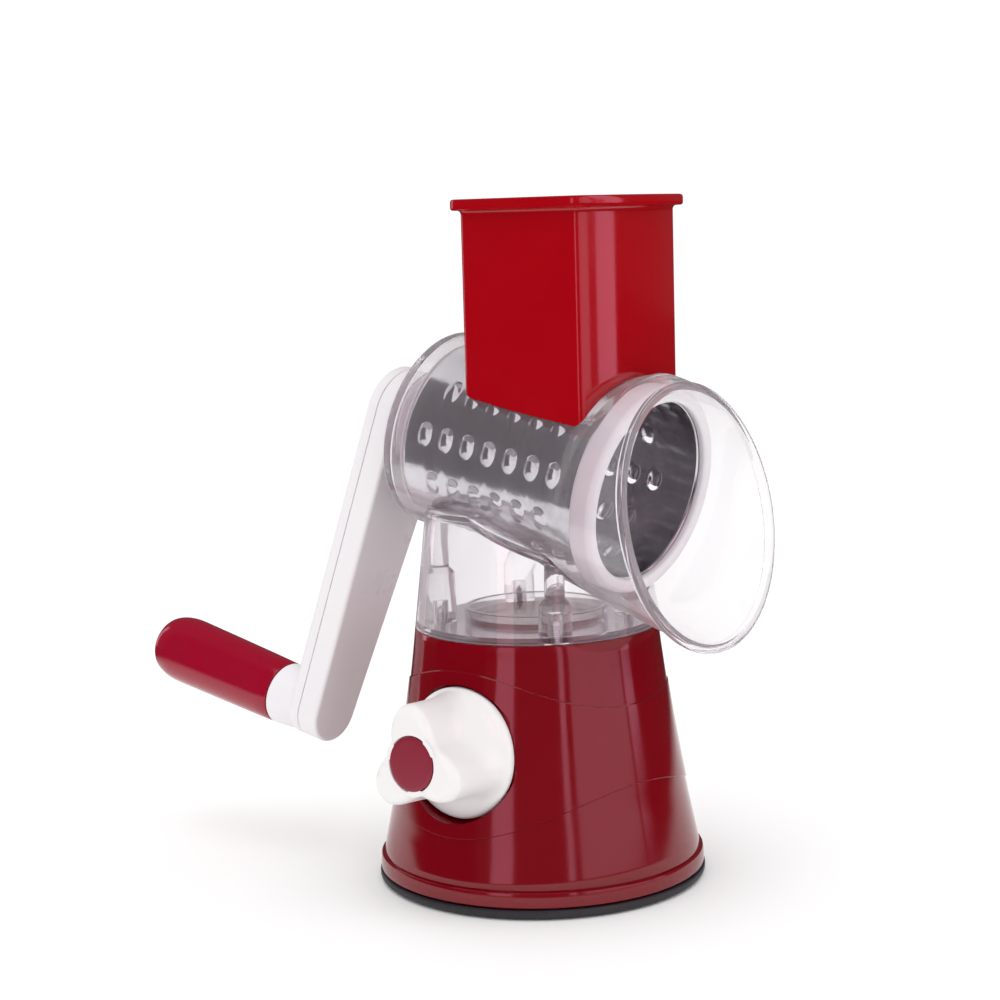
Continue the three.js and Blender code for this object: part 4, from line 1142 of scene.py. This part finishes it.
def makeDrumSleeve():
    points, faces = [], []

    def onDrum(s, degreesRound, height=0.0):
        a = radians(degreesRound)
        r = drum["radius"] - 0.02 + height
        points.append((r * cos(a), r * sin(a), s))
        return len(points) - 1

    step = drum["pitch"] / 8
    rowAngle = 360 / drum["rows"]
    down = 16
    lowest = drum["start"] - drum["pitch"] / 2
    highest = drum["start"] + (drum["long"] - 0.5) * drum["pitch"]
    columns = [lowest + i * step for i in range(int(round((highest - lowest) / step)) + 1)]
    before = [drum["rear"] + (lowest - drum["rear"]) * i / 3 for i in range(3)]
    after = [highest + (drum["front"] - highest) * i / 10 for i in range(1, 11)]
    stations = before + columns + after
    base0 = len(before)

    def cell(c0, c1, angle):
        # A rectangle of sheet with one tooth: rings run from its edge to the tooth's outline and up over the dome.
        s0, s1 = stations[c0], stations[c1]
        mid = (s0 + s1) / 2
        height = rowAngle
        edge = []
        n = c1 - c0
        edge += [(stations[c0 + i], angle - height / 2) for i in range(n)]
        edge += [(s1, angle - height / 2 + height * i / down) for i in range(down)]
        edge += [(stations[c1 - i], angle + height / 2) for i in range(n)]
        edge += [(s0, angle + height / 2 - height * i / down) for i in range(down)]
        arcPerDegree = radians(1) * drum["radius"]
        polar = []
        for s, a in edge:
            x, y = (s - mid), (a - angle) * arcPerDegree
            polar.append(atan2(y / tooth["halfLong"], x / tooth["halfWide"]))
        rings = [[onDrum(s, a) for s, a in edge]]

        def ringOf(scale, lift):
            made = []
            for t in polar:
                x = tooth["halfWide"] * scale * cos(t)
                y = tooth["halfLong"] * scale * sin(t)
                made.append(onDrum(mid + x, angle + y / arcPerDegree, lift))
            return made

        def dome(x, y):
            # Rises from the trailing end and stays high to the open, leading end.
            across = max(0.0, 1 - (x / tooth["halfWide"]) ** 2)
            back = max(0.0, min(1.0, (tooth["halfLong"] - y) / (tooth["halfLong"] * 1.15)))
            return tooth["rise"] * across ** 0.7 * sin(back * pi / 2) ** 1.3

        rings.append(ringOf(1.25, 0.0))
        rings.append(ringOf(1.06, 0.02))
        # Leading end is at smaller angles: the lip stands over a crescent opening there.
        opening = [cos(t + pi / 2) > 0.62 for t in polar]
        lipRing = []
        for t in polar:
            x = tooth["halfWide"] * 0.97 * cos(t)
            y = tooth["halfLong"] * 0.97 * sin(t)
            facing = max(0.0, cos(t + pi / 2) - 0.45) / 0.55
            y += 1.3 * facing
            rise = dome(x, y) if facing > 0 else 0.12 * max(0.0, 1 - facing)
            lipRing.append(onDrum(mid + x, angle + y / arcPerDegree, rise * (facing ** 0.5 if facing > 0 else 1)))
        rings.append(lipRing)
        for scale in (0.82, 0.64, 0.45, 0.25):
            made = []
            for t in polar:
                x = tooth["halfWide"] * scale * cos(t)
                y = tooth["halfLong"] * scale * sin(t)
                facing = max(0.0, cos(t + pi / 2) - 0.45) / 0.55
                y += 1.3 * facing * scale
                made.append(onDrum(mid + x, angle + y / arcPerDegree, dome(x, y)))
            rings.append(made)
        count = len(polar)
        for k in range(len(rings) - 1):
            for i in range(count):
                j = (i + 1) % count
                if k == 2 and opening[i] and opening[j]:
                    continue
                faces.append((rings[k][i], rings[k][j], rings[k + 1][j], rings[k + 1][i]))
        tip = onDrum(mid, angle, dome(0, 0))
        faces.extend((rings[-1][i], rings[-1][(i + 1) % count], tip) for i in range(count))

    def plain(c0, c1, angle):
        for c in range(c0, c1):
            for i in range(down):
                a0 = angle - rowAngle / 2 + rowAngle * i / down
                a1 = a0 + rowAngle / down
                faces.append((onDrum(stations[c], a0), onDrum(stations[c + 1], a0), onDrum(stations[c + 1], a1),
                    onDrum(stations[c], a1)))

    lastColumn = len(stations) - 1
    for row in range(drum["rows"]):
        angle = 180 + drum["first"] + row * rowAngle
        staggered = row % 2
        start = base0 + (4 if staggered else 0)
        teethHere = drum["long"] - staggered
        plain(0, start, angle)
        for i in range(teethHere):
            cell(start + 8 * i, start + 8 * i + 8, angle)
        plain(start + 8 * teethHere, lastColumn, angle)
    sleeve = toObject("gratingDrum", points, faces, drumSteel, None, drumFrame, 50)
    work = bmesh.new()
    work.from_mesh(sleeve.data)
    bmesh.ops.remove_doubles(work, verts=work.verts, dist=2e-6)
    bmesh.ops.recalc_face_normals(work, faces=work.faces)
    work.to_mesh(sleeve.data)
    work.free()
    outward = sum((f.normal.dot(f.center - (drumFrame @ Vector((0, 0,
        8))) * mm) for f in sleeve.data.polygons[:200]))
    if outward < 0:
        sleeve.data.flip_normals()
    thick = sleeve.modifiers.new("sheet", "SOLIDIFY")
    thick.thickness = drum["sheet"] * mm
    thick.offset = -1
    sleeve.data.shade_smooth()
    sleeve.data.set_sharp_from_angle(angle=radians(55))
    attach(sleeve, "crank")
    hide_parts("drum_sleeve")


ringLook = {"radius": 34.8, "start": 42.05, "end": 50.2, "opening": 29.9, "segments": 160}
hub = {"flange": 1.2, "rim": 5, "wall": 2, "shankWidth": 22.6, "corner": 6, "tip": -58.4, "shankWall": 2.4}


def makeDrumEnds():
    ring = turned("drumRing", softened([
        (drum["radius"] + 0.3, ringLook["start"]), (ringLook["radius"] - 0.5, ringLook["start"]),
        (ringLook["radius"], ringLook["start"] + 0.6),
        (ringLook["radius"], ringLook["end"] - 1.4), (ringLook["radius"] - 1.4, ringLook["end"]),
        (ringLook["opening"] + 0.9, ringLook["end"]),
        (ringLook["opening"], ringLook["end"] - 0.9), (ringLook["opening"], drum["front"] + 0.3),
        (drum["radius"] + 0.3, drum["front"] + 0.3),
    ], 0.8), ringLook["segments"], whiteShell, "crank", drumFrame)
    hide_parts("drum_ring")

    rear = drum["rear"] - 0.3
    inner = drum["radius"] - drum["sheet"] - 0.3
    front = drum["rear"] + hub["wall"]
    body = turned("drumHub", [(0, rear - hub["flange"]), (drum["radius"] - 0.6, rear - hub["flange"]),
        (drum["radius"], rear - hub["flange"] + 0.5),
                              (drum["radius"], rear), (inner, rear), (inner, drum["rear"] + hub["rim"] - 0.4),
                              (inner - 0.4, drum["rear"] + hub["rim"]),
                              (inner - hub["wall"] + 0.3, drum["rear"] + hub["rim"]),
                              (inner - hub["wall"], drum["rear"] + hub["rim"] - 0.3),
                              (inner - hub["wall"], front + 1), (inner - hub["wall"] - 1, front), (0, front)],
                              128, place=crankFrame)

    def square(width, corner):
        return lambda inset: roundedSquare(width - 2 * inset, corner)

    shank = slab("shank", square(hub["shankWidth"], hub["corner"]), [(0.8, hub["tip"]),
        (0.25, hub["tip"] + 0.25), (0, hub["tip"] + 0.8),
                                                                    (0, front - 0.5)], place=crankFrame)
    hollow = slab("hollow", square(hub["shankWidth"] - 2 * hub["shankWall"], hub["corner"] - hub["shankWall"]),
                  [(0, hub["tip"] + hub["shankWall"]), (0, front + 1)], place=crankFrame)
    window = boxPiece("window", (0, -3.5, -54.1), (20, 3.5, -49.1), crankFrame)
    combined(body, [shank], "UNION")
    combined(body, [hollow, window], "DIFFERENCE")
    finished(body, whiteShell, "crank", bevel=0.25)
    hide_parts("drum_hub")


def roundedSquare(width, corner, steps=10):
    half = width / 2
    points = []
    for cx, cy, start in ((1, 1, 0), (-1, 1, 90), (-1, -1, 180), (1, -1, 270)):
        for k in range(steps + 1):
            t = radians(start + 90 * k / steps)
            points.append((cx * (half - corner) + corner * cos(t), cy * (half - corner) + corner * sin(t)))
    return points


# ---- Crank arm in two halves ----

crank = {"inner": -48.3, "parting": -57, "outer": -61.7, "hub": 16.2, "end": 10.5, "wall": 2.2, "floor": 2.4,
         "innerEdge": 1.3, "outerEdge": 1.6, "collarEnd": -72.1, "collarRadius": 11.1, "screws": (50, 82)}
catch = {"tabStart": 22, "tabLong": 6, "width": 8, "bodyEnd": 31}


def armOutline(inset, start=None, steps=40):
    # Round hub, round end and straight sides; start cuts the outline off square beyond the hub.
    big, small, length = crank["hub"] - inset, crank["end"] - inset, layout["crankLength"]
    lean = asin((big - small) / length)
    points = []
    if start is None:
        for k in range(steps + 1):
            t = pi / 2 - lean + (pi + 2 * lean) * k / steps
            points.append((big * cos(t), big * sin(t)))
    else:
        side = big / cos(lean) - start * sin(lean) / cos(lean)
        points += [(start, side), (start, -side)]
    for k in range(steps + 1):
        t = -(pi / 2 - lean) + (pi - 2 * lean) * k / steps
        points.append((length + small * cos(t), small * sin(t)))
    return points


def makeArm():
    gap = 0.12
    arm = slab("crankArm", armOutline, [(0.3, crank["parting"] + gap), (0, crank["parting"] + gap + 0.3)]
               + roundLevels(crank["parting"] + 2, crank["inner"], 0, crank["innerEdge"], 5)[5:], place=crankFrame)
    floor = crank["inner"] - crank["floor"]
    pocket = slab("pocket", lambda inset: armOutline(crank["wall"], 17.4),
        [(0, crank["parting"] - 1), (0, floor)], place=crankFrame)
    combined(arm, [pocket], "DIFFERENCE")
    journal = turned("journal", [(0, crank["inner"] - 1), (15.9, crank["inner"] - 1), (15.9, -35.0),
        (15.5, -34.6), (0, -34.6)], 96, place=crankFrame)
    stop = boxPiece("stop", (40.9, -9.4, crank["parting"] + 0.4), (42.9, 9.4, floor + 0.5), crankFrame)
    bosses = [turned("boss", [(0, crank["parting"] + 0.2), (4, crank["parting"] + 0.2), (4, floor + 0.5),
        (0, floor + 0.5)], 32,
                     place=crankFrame @ Matrix.Translation((x, 0, 0))) for x in crank["screws"]]
    combined(arm, [journal, stop] + bosses, "UNION")
    socket = slab("socket", lambda inset: roundedSquare(23.2, 6.3), [(0, crank["parting"] - 1), (0, -33)],
        place=crankFrame)
    way = boxPiece("way", (9, -4.3, -55.9), (34.8, 4.3, -51.3), crankFrame)
    threads = [turned("thread", [(0, crank["parting"] - 1), (1.7, crank["parting"] - 1), (1.7, floor - 0.6),
        (0, floor - 0.6)], 24,
                      place=crankFrame @ Matrix.Translation((x, 0, 0))) for x in crank["screws"]]
    combined(arm, [socket, way] + threads, "DIFFERENCE")
    finished(arm, whiteShell, "crank", smoothAngle=30)
    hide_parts("crank_arm")

    outer, parting = crank["outer"], crank["parting"] - gap
    cover = slab("crankCover", armOutline, roundLevels(outer, parting, crank["outerEdge"], 0.3, 5),
        place=crankFrame)
    end = crank["end"]
    collar = turned("collar", [(0, parting - 1), (end - 1.2, parting - 1), (end - 1.0, outer + 1.0),
        (end - 0.35, outer - 0.6), (end - 0.05, outer - 2.5),
                               (end + 0.25, (outer + crank["collarEnd"]) / 2),
                               (crank["collarRadius"], crank["collarEnd"] + 0.5),
                               (crank["collarRadius"] - 0.3, crank["collarEnd"]), (0, crank["collarEnd"])], 96,
                               place=gripFrame)
    combined(cover, [collar], "UNION")
    recess = turned("recess", [(0, -59.3), (14, -59.3), (14, -56), (0, -56)], 64, place=crankFrame)
    axleHole = turned("axleHole", [(0, -74), (4.3, -74), (4.3, -56), (0, -56)], 48, place=gripFrame)
    slot = boxPiece("slot", (21.7, -4.3, outer - 1), (31.8, 4.3, -56), crankFrame)
    cuts = [recess, axleHole, slot]
    for x in crank["screws"]:
        place = crankFrame @ Matrix.Translation((x, 0, 0))
        cuts.append(turned("screwWay", [(0, outer - 1), (3.3, outer - 1), (3.3, outer + 2.1),
            (1.7, outer + 2.1), (1.7, -56), (0, -56)], 40, place=place))
    combined(cover, cuts, "DIFFERENCE")
    finished(cover, whiteShell, "crank", smoothAngle=30)
    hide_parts("crank_cover")

    for i, x in enumerate(crank["screws"]):
        makeScrew(f"coverScrew{i + 1}", f"cover_screw_{i + 1}", "crank", crankFrame @ Matrix.Translation((x, 0, 0)),
                  outer + 1.8, 1, 1.4, 3, 1.8, floor - 1.2 - (outer + 1.8))


def makeLatch():
    half = catch["width"] / 2
    body = boxPiece("drumLatch", (12.5, -half, -55.6), (catch["bodyEnd"], half, -51.6), crankFrame)
    toothPiece = boxPiece("latchTooth", (9.3, 1 - half, -53.3), (13.5, half - 1, -51.6), crankFrame)
    tab = boxPiece("latchTab", (catch["tabStart"], -half, crank["outer"] - 1.8),
        (catch["tabStart"] + catch["tabLong"], half, -55), crankFrame)
    combined(body, [toothPiece, tab], "UNION")
    grooves = [boxPiece("groove", (x, -half - 1, crank["outer"] - 2), (x + 0.7, half + 1, crank["outer"] - 1.2),
        crankFrame) for x in (23, 24.6, 26.2)]
    combined(body, grooves, "DIFFERENCE")
    finished(body, redCap, "latch", bevel=0.3)
    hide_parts("latch_slider")

    # Coil spring between the latch and its stop.
    wire, radius, turns, start, length = 0.35, 2.4, 6, catch["bodyEnd"] + 0.35, 9.0
    path = []
    for k in range(turns * 24 + 1):
        t = k / 24
        x = start + wire + (length - 2 * wire) * min(max((t - 0.75) / (turns - 1.5), 0), 1)
        path.append(Vector((x, radius * cos(2 * pi * t), -53.6 + radius * sin(2 * pi * t))))
    spring = swept("latchSpring", path, wire, 10, plainSteel, "crank", crankFrame)
    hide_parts("latch_spring")


def swept(name, path, radius, sides, material, body, place):
    rings = []
    side = Vector((1, 0, 0))
    for i, p in enumerate(path):
        ahead = (path[min(i + 1, len(path) - 1)] - path[max(i - 1, 0)]).normalized()
        across = side.cross(ahead).normalized()
        over = ahead.cross(across)
        turns = [2 * pi * k / sides for k in range(sides)]
        rings.append([tuple(p + across * radius * cos(t) + over * radius * sin(t)) for t in turns])
    return skinned(name, rings, material, body, place)


# ---- Turning grip ----

grip = {"start": -72.4, "waist": -121, "end": -131.6, "neck": 11.15, "belly": 12.1, "endRadius": 8.15,
    "recess": 7.2, "recessDepth": 5}


def makeGrip():
    profile = [(4.3, grip["start"]), (grip["neck"] - 0.9, grip["start"]),
        (grip["neck"] - 0.2, grip["start"] - 0.25), (grip["neck"], grip["start"] - 0.9)]
    for k in range(1, 9):
        t = k / 8
        profile.append((grip["neck"] + (grip["belly"] - grip["neck"]) * (t ** 0.8),
            grip["start"] + (grip["waist"] - grip["start"]) * t))
    depth = grip["waist"] - grip["end"]
    for k in range(1, 10):
        t = pi / 2 * k / 9
        profile.append((grip["endRadius"] + (grip["belly"] - grip["endRadius"]) * cos(t),
            grip["waist"] - depth * sin(t)))
    profile += [(grip["recess"] + 0.3, grip["end"]), (grip["recess"], grip["end"] + 0.3),
                (grip["recess"], grip["end"] + grip["recessDepth"]), (4.3, grip["end"] + grip["recessDepth"])]
    body = turned("turningGrip", profile, 128, redGrip, "grip", gripFrame, 40)
    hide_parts("grip")
    radius = grip["recess"] - 0.3
    plug = turned("gripPlug", softened([(0, grip["end"] - 0.65), (radius - 1.6, grip["end"] - 0.45),
        (radius, grip["end"] + 0.3), (radius, grip["end"] + 1.3),
                               (0, grip["end"] + 1.3)], 0.4), 96, whiteShell, "grip", gripFrame)
    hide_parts("grip_plug")


# ---- Small CAD pieces that keep their shape ----

keptNodes = {"pad_insert": plainSteel, "lift_stem": whiteShell, "stem_pin": plainSteel, "knob_shaft": plainSteel,
             "shaft_clip": plainSteel, "grip_axle": plainSteel, "grip_washer": plainSteel}


def dressKept():
    for name, material in keptNodes.items():
        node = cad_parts[name]
        node.data.materials.clear()
        node.data.materials.append(material)
        weld = node.modifiers.new("weld", "WELD")
        weld.merge_threshold = 1e-6
        edge = node.modifiers.new("softEdge", "BEVEL")
        edge.width = 0.15 * mm
        edge.segments = 2
        edge.limit_method = "ANGLE"
        edge.angle_limit = radians(50)


makePad()
makeBase()
print("base made")
makeKnob()
for i, (a, b) in enumerate(((-1, -1), (-1, 1), (1, -1), (1, 1))):
    makeScrew(f"housingScrew{i + 1}", f"housing_screw_{i + 1}", "base",
        Matrix.Translation((a * posts["across"], b * posts["along"], 0)),
              80.7, 1, 1.5, 3.6, 2.2, 13.6)
makeScrew("knobScrew", "knob_screw", "knob", knobFrame, 63.4, -1, 1.4, 3.4, 2.2, 8)
makeScrew("gripScrew", "grip_screw", "crank", gripFrame, -128.1, 1, 1.5, 3.6, 1.6, 9)
print("knob and screws made")
makeHousing()
print("housing made")
makeHopper()
print("hopper made")
makeDrumSleeve()
makeDrumEnds()
print("drum made")
makeArm()
makeLatch()
makeGrip()
dressKept()
print("crank made")
